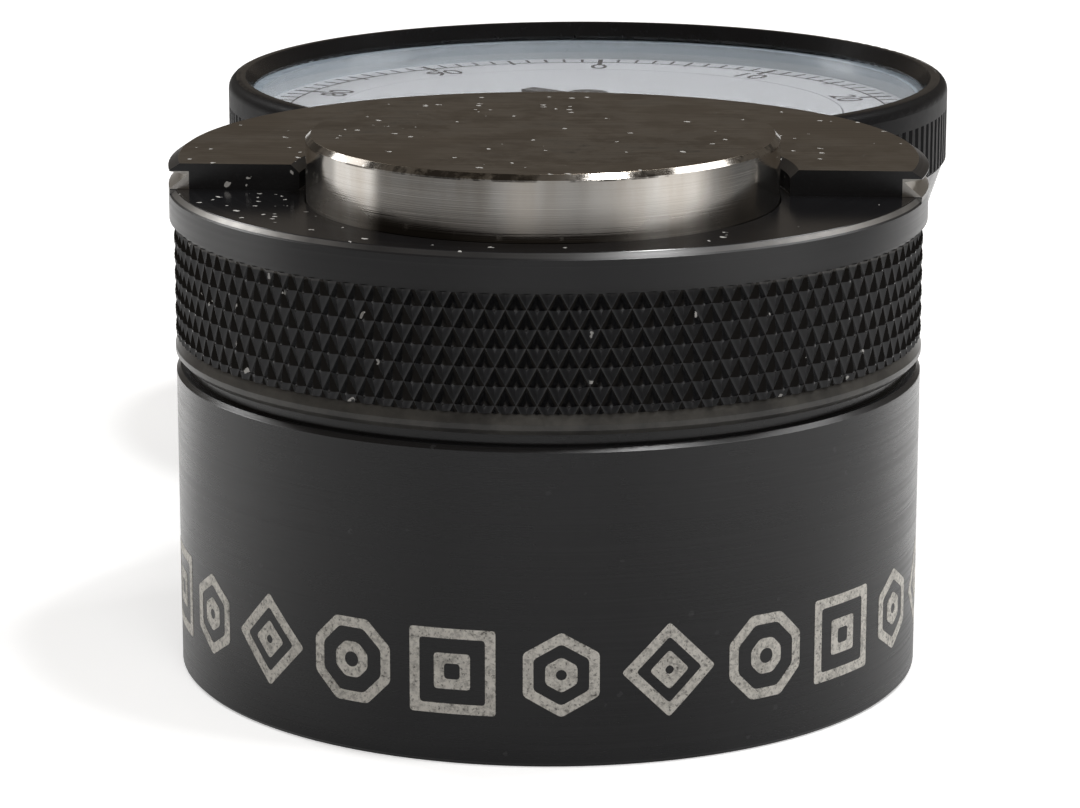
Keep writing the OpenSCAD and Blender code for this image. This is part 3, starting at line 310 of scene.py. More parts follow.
class Finish:
    """A material on a Principled shader, whose pattern lies on the piece's own coordinates."""

    def __init__(self, name, **constants):
        self.material = bpy.data.materials.new(name)
        self.material.use_nodes = True
        self.tree = self.material.node_tree
        self.tree.nodes.clear()
        self.shader = self.tree.nodes.new("ShaderNodeBsdfPrincipled")
        self.output = self.tree.nodes.new("ShaderNodeOutputMaterial")
        self.tree.links.new(self.shader.outputs["BSDF"], self.output.inputs["Surface"])
        for socket, value in constants.items():
            self.set(socket.replace("_", " "), value)

    def set(self, socket, value):
        """Sets or links one of the shader's sockets."""
        self.join(self.shader.inputs[socket], value)

    def join(self, socket, value):
        if isinstance(value, Signal):
            self.tree.links.new(value.socket, socket)
        elif socket.type == "RGBA":
            socket.default_value = (*value[:3], 1.0)
        else:
            socket.default_value = value

    def node(self, kind, settings, *values, out=0, **named):
        """A node of any kind: its settings first, then its sockets in order or by name."""
        made = self.tree.nodes.new(kind)
        for key, value in settings.items():
            if key == "stops":
                set_stops(made.color_ramp, value)
            else:
                setattr(made, key, value)
        for socket, value in zip(made.inputs, values):
            if value is not None:
                self.join(socket, value)
        for key, value in named.items():
            self.join(made.inputs[key.replace("_", " ")], value)
        return Signal(self, made.outputs[out])

    def place(self):
        """The piece's own coordinates as one vector."""
        return self.node("ShaderNodeTexCoord", {}, out="Object")

    def split(self, vector):
        """The three numbers of a vector."""
        node = self.node("ShaderNodeSeparateXYZ", {}, vector).socket.node
        return [Signal(self, output) for output in node.outputs]

    def vector(self, x, y, z):
        return self.node("ShaderNodeCombineXYZ", {}, x, y, z)

    def noise(self, vector, scale, detail=3.0, rough=0.5):
        return self.node("ShaderNodeTexNoise", {"noise_dimensions": "3D"}, Vector=vector, Scale=scale,
            Detail=detail, Roughness=rough)

    def mix(self, factor, first, second):
        """A colour between two, by a factor."""
        node = self.tree.nodes.new("ShaderNodeMix")
        node.data_type = "RGBA"
        self.join(node.inputs["Factor"], factor)
        self.join(node.inputs[6], first)
        self.join(node.inputs[7], second)
        return Signal(self, node.outputs[2])

    def bump(self, height, distance):
        """Relief of a height signal, with the depth in metres that a height of 1 stands for."""
        relief = self.node("ShaderNodeBump", {}, Strength=1.0, Distance=distance, Height=height)
        self.set("Normal", relief)


def set_stops(ramp, stops):
    """Colour stops of a ramp, each a place and a grey level."""
    while len(ramp.elements) < len(stops):
        ramp.elements.new(1.0)
    for element, (place, level) in zip(ramp.elements, stops):
        element.position = place
        element.color = (level, level, level, 1.0)


def shade_of(base, share):
    """A colour at a share of its level, paler where the share is above 1."""
    return [value * share for value in base]


def polar(finish, centre=(0.0, 0.0)):
    """Radius about a vertical axis, height, and the three plain coordinates."""
    x, y, z = finish.split(finish.place())
    dx, dy = x - centre[0], y - centre[1]
    return (dx * dx + dy * dy) ** 0.5, z, x, y


def by_direction(finish, x, y, stops):
    """A level that changes round a vertical axis, from stops in degrees counted from the front."""
    share = x.maths("ARCTAN2", y * -1) / (2 * math.pi) + 0.5
    return finish.node("ShaderNodeValToRGB", {"stops": [(0.5 + a / 360, level) for a, level in stops]}, share)


def turned_lines(finish, radius, z, x, y, pitch):
    """Fine rings left by a lathe, on round sides and flat ends alike."""
    waves = finish.vector(radius / pitch, z / pitch, (x + y) * 6)
    return finish.noise(waves, 1.0, detail=2.0)


def specks(finish, rarity):
    """Scattered tiny chips of bright metal, the fewer the higher the rarity."""
    x, y, z = finish.split(finish.place())
    waver = finish.noise(finish.place(), 1500.0, detail=2.0) * 0.0012
    bent = finish.vector(x + waver, y - waver, z + waver)
    cell = finish.node("ShaderNodeTexVoronoi", {}, Vector=bent, Scale=780.0)
    pick = finish.split(Signal(finish, cell.socket.node.outputs["Color"]))[0]
    clouds = finish.noise(finish.place(), 60.0, detail=2.0)
    return (cell < 0.2) * (pick + clouds * 0.5 > rarity)


def ground_face(finish, x, y, z, stain_scale, stain_rough, patch_scale):
    """A face ground along X: its grain, its stains, where these are dull, and its colour."""
    tones = bpy.context.scene.setter_colours
    grain = finish.noise(finish.vector(x * 90, y * 3200, z), 1.0, detail=5.0, rough=0.65)
    stain = finish.noise(finish.place(), stain_scale, detail=6.0, rough=stain_rough)
    patch = finish.noise(finish.place(), patch_scale, detail=3.0).rise(0.35, 0.65)
    dull = stain.rise(0.38, 0.7) * patch
    face = finish.mix(grain.rise(0.3, 0.7) * 0.7 + patch * 0.3, tones.ground, tones.ground_dull)
    return grain, stain, dull, finish.mix(dull, face, tones.stain)


def housing_finish():
    """Blackened turned steel with faint lathe rings and handling marks."""
    tones = bpy.context.scene.setter_colours
    finish = Finish("housing black", Metallic=0.0, IOR=1.6)
    radius, z, x, y = polar(finish)
    lines = turned_lines(finish, radius, z, x, y, 0.3 * MM)
    handling = finish.noise(finish.place(), 70.0, detail=5.0, rough=0.65)
    plain = finish.noise(finish.place(), 30.0, detail=2.0).rise(0.4, 0.6)
    shown = lines.rise(0.4, 0.7) * (plain * 0.7 + 0.3)
    worn = handling.rise(0.5, 0.8) * 0.2 + shown * 0.3 + specks(finish, 1.2) * 4
    finish.set("Base Color", finish.mix(worn, tones.oxide, tones.oxide_worn))
    finish.set("Roughness", shown * 0.09 + handling * 0.08 + 0.23)
    finish.bump(shown, 0.006 * MM)
    return finish.material


def knurl_finish():
    """Blackened knurling, rubbed on its points, with painted shade in its grooves and on the facets that face
    up, painted light on the facets that face down, and a top rim worn bare that is partly a painted
    highlight.
    """
    tones, sizes = bpy.context.scene.setter_colours, bpy.context.scene.setter_knurl
    finish = Finish("knurl black", Metallic=0.0, IOR=1.6)
    radius, z, x, y = polar(finish)
    raised = radius.rise(sizes.root_r, sizes.tip_r)
    rubbed = finish.noise(finish.place(), 500.0, detail=4.0, rough=0.7)
    underside = finish.node("ShaderNodeAttribute", {"attribute_name": UNDERSIDE}, out="Fac")
    # Painted light: the facets that face down take the paler worn oxide as if lit by the table, and all but
    # the points and those facets take the near-black groove colour as painted shade
    worn = raised.rise(0.72, 1.0) * (rubbed * 0.6 + 0.2) + underside * (rubbed * 0.5 + 1.0)
    # The top rim is worn bare, partly wear and partly a painted highlight where the lamps catch it
    rim = z.rise(sizes.high_z - sizes.rim, sizes.high_z - sizes.rim_full)
    rim = rim * by_direction(finish, x, y, EDGE_WEAR_AND_HIGHLIGHT_SECTORS)
    black = finish.mix(rim * rubbed, finish.mix(worn, tones.groove, tones.oxide_worn), tones.bare)
    finish.set("Base Color", finish.mix(specks(finish, 1.19), black, tones.chips))
    finish.set("Roughness", rubbed * 0.14 + underside * 0.16 + rim * 0.1 + 0.1)
    finish.bump(raised + rubbed * 0.02, 0.35 * MM)
    return finish.material


def head_finish():
    """The head: blackened, with the reference face ground bare and bright turned chamfers, whose brightness
    round the ledge's edge is partly a painted highlight.
    """
    tones, wear = bpy.context.scene.setter_colours, bpy.context.scene.setter_wear
    finish = Finish("head black and ground", IOR=1.6)
    radius, z, x, y = polar(finish)
    ledge_z = HEAD_HIGH.z - wear.ledge_drop
    lines = turned_lines(finish, radius, z, x, y, 0.22 * MM)
    handling = finish.noise(finish.place(), 90.0, detail=5.0, rough=0.65)
    worn = handling.rise(0.5, 0.78) * 0.25 + lines.rise(0.5, 0.8) * 0.4
    black = finish.mix(worn, tones.oxide, tones.oxide_worn)
    # Dust lies in the notch under the knurling
    settled = finish.noise(finish.place(), 260.0, detail=5.0, rough=0.7).rise(0.3, 0.7)
    notch = z < bpy.context.scene.setter_knurl.low_z
    black = finish.mix(notch * (settled * 0.5 + 0.25), black, tones.dust)
    on_face = z > (HEAD_HIGH.z - wear.skin)
    grain, stain, dull, ground = ground_face(finish, x, y, z, 160.0, 0.7, 45.0)
    # The V groove is bare, and the ledge's edge is worn bare, partly wear and partly a painted highlight
    # where the lamps catch it
    groove = (z > ledge_z + wear.skin) * (z < HEAD_HIGH.z - wear.groove_top)
    groove = groove * (radius > FLANGE_R - wear.groove_in)
    edge = (z > ledge_z - wear.edge_foot) * (z < ledge_z - wear.edge_top)
    edge = edge * (radius > FLANGE_R - wear.edge_in) * by_direction(finish, x, y, EDGE_WEAR_AND_HIGHLIGHT_SECTORS)
    rubbed = finish.noise(finish.place(), 240.0, detail=4.0)
    bright = groove + edge * (rubbed.rise(0.3, 0.62) * 0.4 + 0.6)
    # Chips lie on what faces up, most of them in a heap on the ledge
    from_heap = (x - wear.heap_at[0]) ** 2 + (y - wear.heap_at[1]) ** 2
    heap = 1 - from_heap.rise(wear.heap_core ** 2, wear.heap_reach ** 2)
    chips = specks(finish, 1.13 - heap * (1 - on_face) * 0.36 + on_face * 0.02)
    chips = chips * (z > (ledge_z - wear.chip_foot))
    colour_now = finish.mix(bright, finish.mix(on_face, black, ground), tones.bare)
    finish.set("Base Color", finish.mix(chips, colour_now, tones.chips))
    metal = (on_face * (1 - dull * 0.6)).maths("MAXIMUM", bright, clamp=True)
    finish.set("Metallic", metal * (1 - chips))
    ledge = (z > (ledge_z - wear.ledge_sink)) * (z < (ledge_z + wear.ledge_rise))
    black_rough = (lines * 0.16 + handling * 0.12 + 0.2) * (1 - ledge * 0.5)
    rough = black_rough * (1 - metal) + metal * (grain * 0.2 + 0.22)
    finish.set("Roughness", rough * (1 - chips) + chips * 0.5)
    finish.bump(lines * (1 - on_face) + grain * on_face, 0.006 * MM)
    return finish.material


def anvil_finish():
    """The sensing disc: ground top with stains, fine ground side with a painted dark reflection and a painted
    highlight at its foot.
    """
    tones, wear = bpy.context.scene.setter_colours, bpy.context.scene.setter_wear
    finish = Finish("anvil ground steel")
    radius, z, x, y = polar(finish, ANVIL_CENTRE.xy)
    from_centre = y - ANVIL_CENTRE.y
    on_top = z > (ANVIL_HIGH.z - wear.skin)
    on_side = 1 - on_top
    grain, stain, dull, top = ground_face(finish, x, y, z, 190.0, 0.75, 60.0)
    dull = dull * on_top
    chips = specks(finish, 1.14) * on_top
    rings = finish.vector(radius / (0.2 * MM), z / (0.11 * MM), (x - y) * 30)
    rings = finish.noise(rings, 1.0, detail=3.0)
    smoke = finish.noise(finish.vector(x * 420, y * 420, z * 60), 1.0, detail=4.0)
    side = finish.mix(smoke.rise(0.35, 0.75) * 0.5 + rings.rise(0.4, 0.8) * 0.2, tones.bare, tones.ground)
    # Painted dark reflection: the foot of the side is darkened, more on some sides round the axis than on
    # others
    dark_reflection_mask = 1 - (z + smoke * 1.5 * MM).rise(HEAD_HIGH.z - wear.film_foot, HEAD_HIGH.z + wear.film_top)
    dark_reflection_mask = dark_reflection_mask * by_direction(finish, x, from_centre, DARK_REFLECTION_SECTORS)
    edge = z > (ANVIL_HIGH.z - wear.disc_edge)
    side = finish.mix(dark_reflection_mask.maths("MAXIMUM", edge * stain.rise(0.45, 0.56) * 0.9), side, tones.oil)
    # Painted highlight: the foot is made matt and less metallic, more on the sides where the highlights run
    # down to it, so that it catches the lamps
    foot = 1 - (z + smoke * 1.2 * MM).rise(HEAD_HIGH.z - wear.haze_foot, HEAD_HIGH.z + wear.haze_top)
    painted_highlight = foot * by_direction(finish, x, from_centre, FOOT_HIGHLIGHT_SECTORS) * (rings * 0.5 + 0.6) * on_side
    finish.set("Base Color", finish.mix(chips, finish.mix(on_top, side, top), tones.chips))
    finish.set("Metallic", (1 - dull * 0.6) * (1 - chips) * (1 - painted_highlight))
    finish.set("Roughness", on_top * (grain * 0.22 + 0.2) + on_side * (rings * 0.06 + painted_highlight * 0.3 + 0.08))
    finish.bump(grain * on_top + rings * on_side * (foot * 2 + 1), 0.004 * MM)
    return finish.material


def brushed(name, base, shade, roughness, scale, centre=(0.0, 0.0)):
    """Machined metal with fine rings about a vertical axis and a mottled tone."""
    finish = Finish(name, Metallic=1.0)
    radius, z, x, y = polar(finish, centre)
    rings = turned_lines(finish, radius, z, x, y, scale)
    tone = finish.noise(finish.place(), 300.0, detail=4.0)
    mottle = tone.rise(0.3, 0.75) * 0.6 + rings * 0.3
    finish.set("Base Color", finish.mix(mottle, base, shade_of(base, shade)))
    finish.set("Roughness", rings * 0.18 + tone * 0.1 + (roughness - 0.14))
    finish.bump(rings, 0.003 * MM)
    return finish.material


def stem_finish():
    """Ground round stock that lies along the indicator's axis."""
    finish = Finish("stem ground steel", Metallic=1.0)
    x, y, z = finish.split(finish.place())
    rings = finish.noise(finish.vector(x * 40, y / (0.15 * MM), z * 40), 1.0, detail=3.0)
    tone = finish.noise(finish.place(), 220.0, detail=4.0)
    stock = bpy.context.scene.setter_colours.stock
    mottle = tone.rise(0.3, 0.75) * 0.5 + rings * 0.3
    finish.set("Base Color", finish.mix(mottle, stock, shade_of(stock, 0.6)))
    finish.set("Roughness", rings * 0.16 + tone * 0.1 + 0.14)
    finish.bump(rings, 0.003 * MM)
    return finish.material


def enamel_finish(name, roughness, grit, dull_r=1.0):
    """Black enamel with faint ripples and dust, dull beyond a radius in metres from the dial's axis."""
    tones = bpy.context.scene.setter_colours
    finish = Finish(name, Metallic=0.0, IOR=1.45, Specular_IOR_Level=0.22, Coat_Roughness=0.08)
    peel = finish.noise(finish.place(), 420.0, detail=2.0)
    dust = finish.noise(finish.place(), 900.0, detail=5.0, rough=0.7)
    finish.set("Base Color", finish.mix(dust.rise(0.55, 0.85) * grit, tones.enamel, tones.oxide_worn))
    outside = polar(finish, DIAL_CENTRE.xy)[0] > dull_r
    finish.set("Roughness", dust * 0.12 + peel * 0.08 + outside * 0.25 + (roughness - 0.1))
    finish.set("Coat Weight", (1 - dust.rise(0.45, 0.8)) * (1 - outside) * 0.35)
    finish.bump(peel, 0.004 * MM)
    return finish.material


def dial_finish():
    """White lacquer with a very slight mottle."""
    tones = bpy.context.scene.setter_colours
    finish = Finish("dial white", Metallic=0.0, IOR=1.45)
    mottle = finish.noise(finish.place(), 600.0, detail=4.0)
    finish.set("Base Color", finish.mix(mottle * 0.5, tones.dial, shade_of(tones.dial, 0.96)))
    finish.set("Roughness", mottle * 0.1 + 0.4)
    finish.bump(mottle, 0.001 * MM)
    return finish.material


def spacer_finish():
    """Satin grey ring under the crystal."""
    tones = bpy.context.scene.setter_colours
    finish = Finish("spacer satin", Metallic=0.0, IOR=1.45)
    mottle = finish.noise(finish.place(), 500.0, detail=4.0)
    finish.set("Base Color", finish.mix(mottle, tones.spacer, shade_of(tones.spacer, 0.9)))
    finish.set("Roughness", mottle * 0.14 + 0.3)
    return finish.material


def crystal_finish():
    """Clear crystal with little glare and faint smears."""
    tones = bpy.context.scene.setter_colours
    finish = Finish("crystal clear", Transmission_Weight=1.0, IOR=1.16, Base_Color=tones.crystal)
    smear = finish.noise(finish.place(), 120.0, detail=5.0, rough=0.7)
    finish.set("Roughness", smear.rise(0.45, 0.9) * 0.05 + 0.01)
    # The lamps' light passes the crystal unbent
    shadow = finish.node("ShaderNodeLightPath", {}, out="Is Shadow Ray")
    clear = finish.node("ShaderNodeBsdfTransparent", {}, tones.crystal_pass)
    glass = Signal(finish, finish.shader.outputs["BSDF"])
    both = finish.node("ShaderNodeMixShader", {}, shadow, glass, clear)
    finish.tree.links.new(both.socket, finish.output.inputs["Surface"])
    return finish.material


def etched_finish():
    """Frosted marks with an uneven tone."""
    tones = bpy.context.scene.setter_colours
    finish = Finish("etched frost", Metallic=0.2, IOR=1.5)
    grain = finish.noise(finish.place(), 1900.0, detail=5.0, rough=0.75)
    cloud = finish.noise(finish.place(), 500.0, detail=4.0)
    pits = finish.noise(finish.place(), 3600.0, detail=2.0).rise(0.6, 0.66)
    dark = grain.rise(0.42, 0.66) * 0.5 + cloud.rise(0.45, 0.75) * 0.25 + pits * 0.5
    dark = dark.maths("MINIMUM", 1.0)
    finish.set("Base Color", finish.mix(dark, tones.etched, shade_of(tones.etched, 0.2)))
    finish.set("Roughness", grain * 0.2 + 0.45)
    finish.bump(grain - pits, 0.03 * MM)
    return finish.material


def ink_finish():
    """Matt printing ink."""
    tones = bpy.context.scene.setter_colours
    finish = Finish("dial ink", Metallic=0.0)
    grain = finish.noise(finish.place(), 3000.0, detail=3.0)
    finish.set("Base Color", finish.mix(grain, tones.ink, shade_of(tones.ink, 1.6)))
    finish.set("Roughness", grain * 0.2 + 0.45)
    return finish.material


def rubber_finish():
    """Matt black rubber."""
    rubber = bpy.context.scene.setter_colours.rubber
    finish = Finish("seal rubber", Metallic=0.0)
    grain = finish.noise(finish.place(), 1800.0, detail=4.0)
    finish.set("Base Color", finish.mix(grain, rubber, shade_of(rubber, 2.5)))
    finish.set("Roughness", grain * 0.2 + 0.6)
    finish.bump(grain, 0.01 * MM)
    return finish.material


def all_finishes():
    """One material for each material slot of the record."""
    tones = bpy.context.scene.setter_colours
    anvil_axis, dial_axis = ANVIL_CENTRE.xy, DIAL_CENTRE.xy
    shiny_r = BEZEL_R - bpy.context.scene.setter_wear.bezel_side
    return {
        "black_housing": housing_finish(),
        "black_head": head_finish(),
        "ground_steel": anvil_finish(),
        "plain_steel": brushed("machined steel", tones.machined, 0.6, 0.34, 0.2 * MM),
        "screw_steel": brushed("screw steel", tones.screw, 0.5, 0.4, 0.3 * MM),
        "magnet": brushed("nickel plate", tones.nickel, 0.8, 0.24, 0.4 * MM),
        "bronze": brushed("bearing bronze", tones.bronze, 0.6, 0.36, 0.25 * MM, anvil_axis),
        "seal_rubber": rubber_finish(),
        "spring_steel": brushed("spring wire", tones.wire, 0.6, 0.32, 0.5 * MM, anvil_axis),
        "black_case": enamel_finish("case enamel", 0.34, 0.5),
        "black_bezel": enamel_finish("bezel enamel", 0.24, 0.35, shiny_r),
        "stem_steel": stem_finish(),
        "movement_brass": brushed("movement brass", tones.brass, 0.7, 0.32, 0.3 * MM, dial_axis),
        "dial_white": dial_finish(),
        "spacer_grey": spacer_finish(),
        "crystal_glass": crystal_finish(),
        "hand_black": enamel_finish("hand enamel", 0.3, 0.2),
    }


def made(name, bm, finish, body, slot):
    """Turns a bmesh into a piece that rides on a body."""
    mesh = bpy.data.meshes.new(name)
    bm.to_mesh(mesh)
    bm.free()
    mesh.materials.append(finish)
    piece = bpy.data.objects.new(name, mesh)
    bpy.context.scene.collection.objects.link(piece)
    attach(piece, body)
    return piece


def copies_round(bm, count):
    """Copies all geometry to equal angles round the body's axis."""
    geometry = bm.verts[:] + bm.edges[:] + bm.faces[:]
    bmesh.ops.spin(bm, geom=geometry, cent=(0, 0, 0), axis=(0, 0, 1), dvec=(0, 0, 0),
        angle=2 * math.pi * (count - 1) / count, steps=count - 1, use_merge=False, use_normal_flip=False,
        use_duplicate=True)


def knurl_strip(bm, sizes, rows):
    """One groove pitch of the knurling: grooves along the diagonals, a point in each diamond."""
    bmesh.ops.create_grid(bm, x_segments=2, y_segments=rows, size=0.5)
    half = math.pi / sizes.starts
    tips, roots = [], []
    for vert in bm.verts:
        column = round((vert.co.x + 0.5) * 2) - 1
        row = round((vert.co.y + 0.5) * rows)
        is_tip = (column + row) % 2
        radius = sizes.tip_r if is_tip else sizes.root_r
        z = sizes.low_z + (row - sizes.phase) * sizes.period / 2
        vert.co = (radius * math.sin(column * half), -radius * math.cos(column * half), z)
        (tips if is_tip else roots).append(vert)
    bmesh.ops.connect_verts(bm, verts=roots)


def make_knurl(finish):
    """The diamond knurling as a closed band with real points."""
    sizes = bpy.context.scene.setter_knurl
    bm = bmesh.new()
    rows = math.ceil((sizes.high_z - sizes.low_z) / sizes.period * 2) + 2
    knurl_strip(bm, sizes, rows)
    copies_round(bm, sizes.starts)
    bmesh.ops.remove_doubles(bm, verts=bm.verts[:], dist=0.002 * MM)
    limit = (sizes.tip_r + sizes.root_r) / 2
    tips = [v for v in bm.verts if v.co.xy.length > limit and not v.is_boundary]
    bmesh.ops.bevel(bm, geom=tips, offset=sizes.tip_flat, offset_type="OFFSET", segments=1, profile=0.5,
        affect="VERTICES", material=-1)
    for z, way in ((sizes.high_z, 1), (sizes.low_z, -1)):
        bmesh.ops.bisect_plane(bm, geom=bm.verts[:] + bm.edges[:] + bm.faces[:], dist=0.0005 * MM,
            plane_co=(0, 0, z), plane_no=(0, 0, way), clear_outer=True)
    rim = [e for e in bm.edges if e.is_boundary]
    inner = bmesh.ops.extrude_edge_only(bm, edges=rim)["geom"]
    for vert in (g for g in inner if isinstance(g, bmesh.types.BMVert)):
        vert.co.xy = vert.co.xy.normalized() * sizes.core_r
    bmesh.ops.bridge_loops(bm, edges=[e for e in bm.edges if e.is_boundary])
    bmesh.ops.triangulate(bm, faces=[f for f in bm.faces if len(f.verts) > 4])
    bmesh.ops.recalc_face_normals(bm, faces=bm.faces[:])
    # The finish paints the facets that face down paler, as painted light
    underside = bm.faces.layers.float.new(UNDERSIDE)
    for face in bm.faces:
        face[underside] = float(face.normal.z < -0.05)
    return made("knurl_band", bm, finish, "root", "black_head")


def frame_mark(bm, sides, radius, stroke, turn):
    """A flat frame of straight sides in the plane of X and Z, about the origin."""
    loops = []
    for size in (radius, radius - stroke / math.cos(math.pi / sides)):
        ring = bmesh.ops.create_circle(bm, cap_ends=False, segments=sides, radius=size,
            matrix=Matrix.Rotation(math.pi / 2, 4, "X") @ Matrix.Rotation(turn, 4, "Z"))
        loops += list({e for v in ring["verts"] for e in v.link_edges})
    bmesh.ops.bridge_loops(bm, edges=loops)


def etched_frame(sizes, sides, radius, turn, direction):
    """One etched frame with rounded corners, thickened and wrapped round the housing, as a mesh."""
    mark = bmesh.new()
    frame_mark(mark, sides, radius, sizes.stroke, turn)
    bmesh.ops.bevel(mark, geom=mark.verts[:], offset=sizes.stroke * 0.3, offset_type="OFFSET", segments=2,
        profile=0.5, affect="VERTICES", material=-1)
    bmesh.ops.subdivide_edges(mark, edges=mark.edges[:], cuts=3, use_grid_fill=True)
    bmesh.ops.triangulate(mark, faces=mark.faces[:])
    lifted = bmesh.ops.extrude_face_region(mark, geom=mark.faces[:])["geom"]
    for vert in (g for g in lifted if isinstance(g, bmesh.types.BMVert)):
        vert.co.y -= 2 * sizes.lift
    for vert in mark.verts:
        at = direction + vert.co.x / HOUSING_R
        reach = HOUSING_R - sizes.lift - vert.co.y
        vert.co = (reach * math.sin(at), -reach * math.cos(at), sizes.centre_z + vert.co.z)
    bmesh.ops.recalc_face_normals(mark, faces=mark.faces[:])
    mesh = bpy.data.meshes.new("mark")
    mark.to_mesh(mesh)
    mark.free()
    return mesh


def make_marks(finish):
    """A row of plain etched frames round the front of the housing, each with a smaller one inside."""
    sizes = bpy.context.scene.setter_marks
    step = (sizes.last - sizes.first) / max(sizes.count - 1, 1)
    bm = bmesh.new()
    for i in range(sizes.count):
        sides, turn, size = MARK_KINDS[i % len(MARK_KINDS)]
        for share in (1.0, MARK_CORE_SHARE):
            mesh = etched_frame(sizes, sides, sizes.height / 2 * size * share, turn, sizes.first + step * i)
            bm.from_mesh(mesh)
            bpy.data.meshes.remove(mesh)
    return made("etched_marks", bm, finish, "root", "black_housing")


def ticks(bm, centre, count, outer_r, tick, width, ink, skip=None):
    """Printed ticks round a centre, the first one towards +Y."""
    for i in range(count):
        if skip and i % skip == 0:
            continue
        turn = Matrix.Rotation(-2 * math.pi * i / count, 4, "Z")
        place = Matrix.Translation(centre) @ turn @ Matrix.Translation((0, outer_r - tick / 2, ink / 2))
        bmesh.ops.create_cube(bm, size=1.0, matrix=place @ Matrix.Diagonal((width, tick, ink, 1.0)))


def number(bm, text, height, place, ink):
    """A printed number, its middle at the origin of a matrix."""
    curve = bpy.data.curves.new("number", "FONT")
    curve.body = text
    # A digit stands about 0.7 of the font's size high
    curve.size = height * 1.4
    curve.align_x = "CENTER"
    curve.align_y = "CENTER"
    curve.extrude = ink / 2
    holder = bpy.data.objects.new("number", curve)
    mesh = bpy.data.meshes.new_from_object(holder)
    mesh.transform(place)
    bm.from_mesh(mesh)
    bpy.data.objects.remove(holder)
    bpy.data.curves.remove(curve)
    bpy.data.meshes.remove(mesh)


def printed_circle(bm, centre, outer_r, width, ink, segments):
    """A printed circle as a flat ring."""
    loops = []
    for r in (outer_r, outer_r - width):
        for z in (0, ink):
            ring = bmesh.ops.create_circle(bm, cap_ends=False, segments=segments, radius=r,
                matrix=Matrix.Translation(centre + Vector((0, 0, z))))
            loops.append(list({e for v in ring["verts"] for e in v.link_edges}))
    outer_low, outer_high, inner_low, inner_high = loops
    round_trip = (outer_low, outer_high, inner_high, inner_low, outer_low)
    for one, other in zip(round_trip, round_trip[1:]):
        bmesh.ops.bridge_loops(bm, edges=one + other)


def make_dial_print(finish):
    """The graduated ring's ticks and numbers, which turn with the bezel."""
    sizes = bpy.context.scene.setter_dial
    bm = bmesh.new()
    fives, tens = sizes.divisions // 5, sizes.divisions // 10
    ticks(bm, DIAL_CENTRE, sizes.divisions, sizes.tick_r, sizes.tick, sizes.tick_w, sizes.ink, skip=5)
    ticks(bm, DIAL_CENTRE, fives, sizes.tick_r, sizes.tick_five, sizes.tick_w * 1.2, sizes.ink, skip=2)
    ticks(bm, DIAL_CENTRE, tens, sizes.tick_r, sizes.tick_ten, sizes.tick_w * 1.7, sizes.ink)
    for i in range(tens):
        turn = Matrix.Rotation(-2 * math.pi * i / tens, 4, "Z")
        middle = Matrix.Translation((0, sizes.number_r, sizes.ink / 2))
        place = Matrix.Translation(DIAL_CENTRE) @ turn @ middle
        number(bm, str(i * 10), sizes.number_h, place, sizes.ink)
    scale_r = sizes.tick_r - sizes.tick + sizes.line
    printed_circle(bm, DIAL_CENTRE, scale_r, sizes.line, sizes.ink, 200)
    bmesh.ops.recalc_face_normals(bm, faces=bm.faces[:])
    return made("dial_print", bm, finish, "bezel_group", "hand_black")


def make_counter_print(finish):
    """The turn counter's ticks and numbers on the fixed inner dial."""
    sizes = bpy.context.scene.setter_dial
    bm = bmesh.new()
    ticks(bm, COUNTER_CENTRE, sizes.turns, sizes.counter_r, sizes.counter_tick, sizes.tick_w, sizes.ink)
    for i in range(sizes.turns):
        turn = 2 * math.pi * i / sizes.turns
        at = Vector((math.sin(turn), math.cos(turn), 0)) * sizes.counter_number_r
        number(bm, str(i), sizes.counter_number_h, Matrix.Translation(COUNTER_CENTRE + at), sizes.ink)
    printed_circle(bm, COUNTER_CENTRE, sizes.counter_r, sizes.line, sizes.ink, 96)
    bmesh.ops.recalc_face_normals(bm, faces=bm.faces[:])
    return made("counter_print", bm, finish, "root", "hand_black")


def add_lamp(name, at, aim, width, beam, power, mirrored):
    """A soft square lamp that faces a point, and that shiny faces either mirror or don't."""
    lamp = bpy.data.lights.new(name, "AREA")
    lamp.size = width
    lamp.energy = power
    lamp.spread = math.radians(beam)
    holder = bpy.data.objects.new(name, lamp)
    bpy.context.scene.collection.objects.link(holder)
    holder.visible_glossy = mirrored
    holder.visible_transmission = False
    holder.location = at
    holder.rotation_euler = (Vector(aim) - Vector(at)).to_track_quat("-Z", "Y").to_euler()


def make_floor():
    """A floor that is pale to the camera, and pale and dark by turns in what the object mirrors."""
    sizes, tones = bpy.context.scene.setter_stage, bpy.context.scene.setter_colours
    bm = bmesh.new()
    bmesh.ops.create_grid(bm, x_segments=1, y_segments=1, size=sizes.floor_w / 2)
    mesh = bpy.data.meshes.new("floor")
    bm.to_mesh(mesh)
    bm.free()
    floor = bpy.data.objects.new("floor", mesh)
    bpy.context.scene.collection.objects.link(floor)
    finish = Finish("floor pale", Roughness=0.9, Specular_IOR_Level=0.0)
    distance, _, x, y = polar(finish)
    near = by_direction(finish, x, y, NEAR_SECTORS)
    far = by_direction(finish, x, y, FAR_SECTORS)
    sectors = finish.mix(distance.rise(sizes.sector_near, sizes.sector_far), near, far)
    seen = finish.node("ShaderNodeLightPath", {}, out="Is Camera Ray")
    finish.set("Base Color", finish.mix(seen, sectors, tones.floor))
    finish.set("Emission Strength", 1.0)
    horizon = distance.rise(sizes.floor_near, sizes.floor_far)
    glow = finish.mix(horizon, tones.floor_glow, (1, 1, 1))
    mirrored_glow = finish.mix(sizes.mirrored_glow, (0, 0, 0), sectors)
    finish.set("Emission Color", finish.mix(seen, mirrored_glow, glow))
    mesh.materials.append(finish.material)


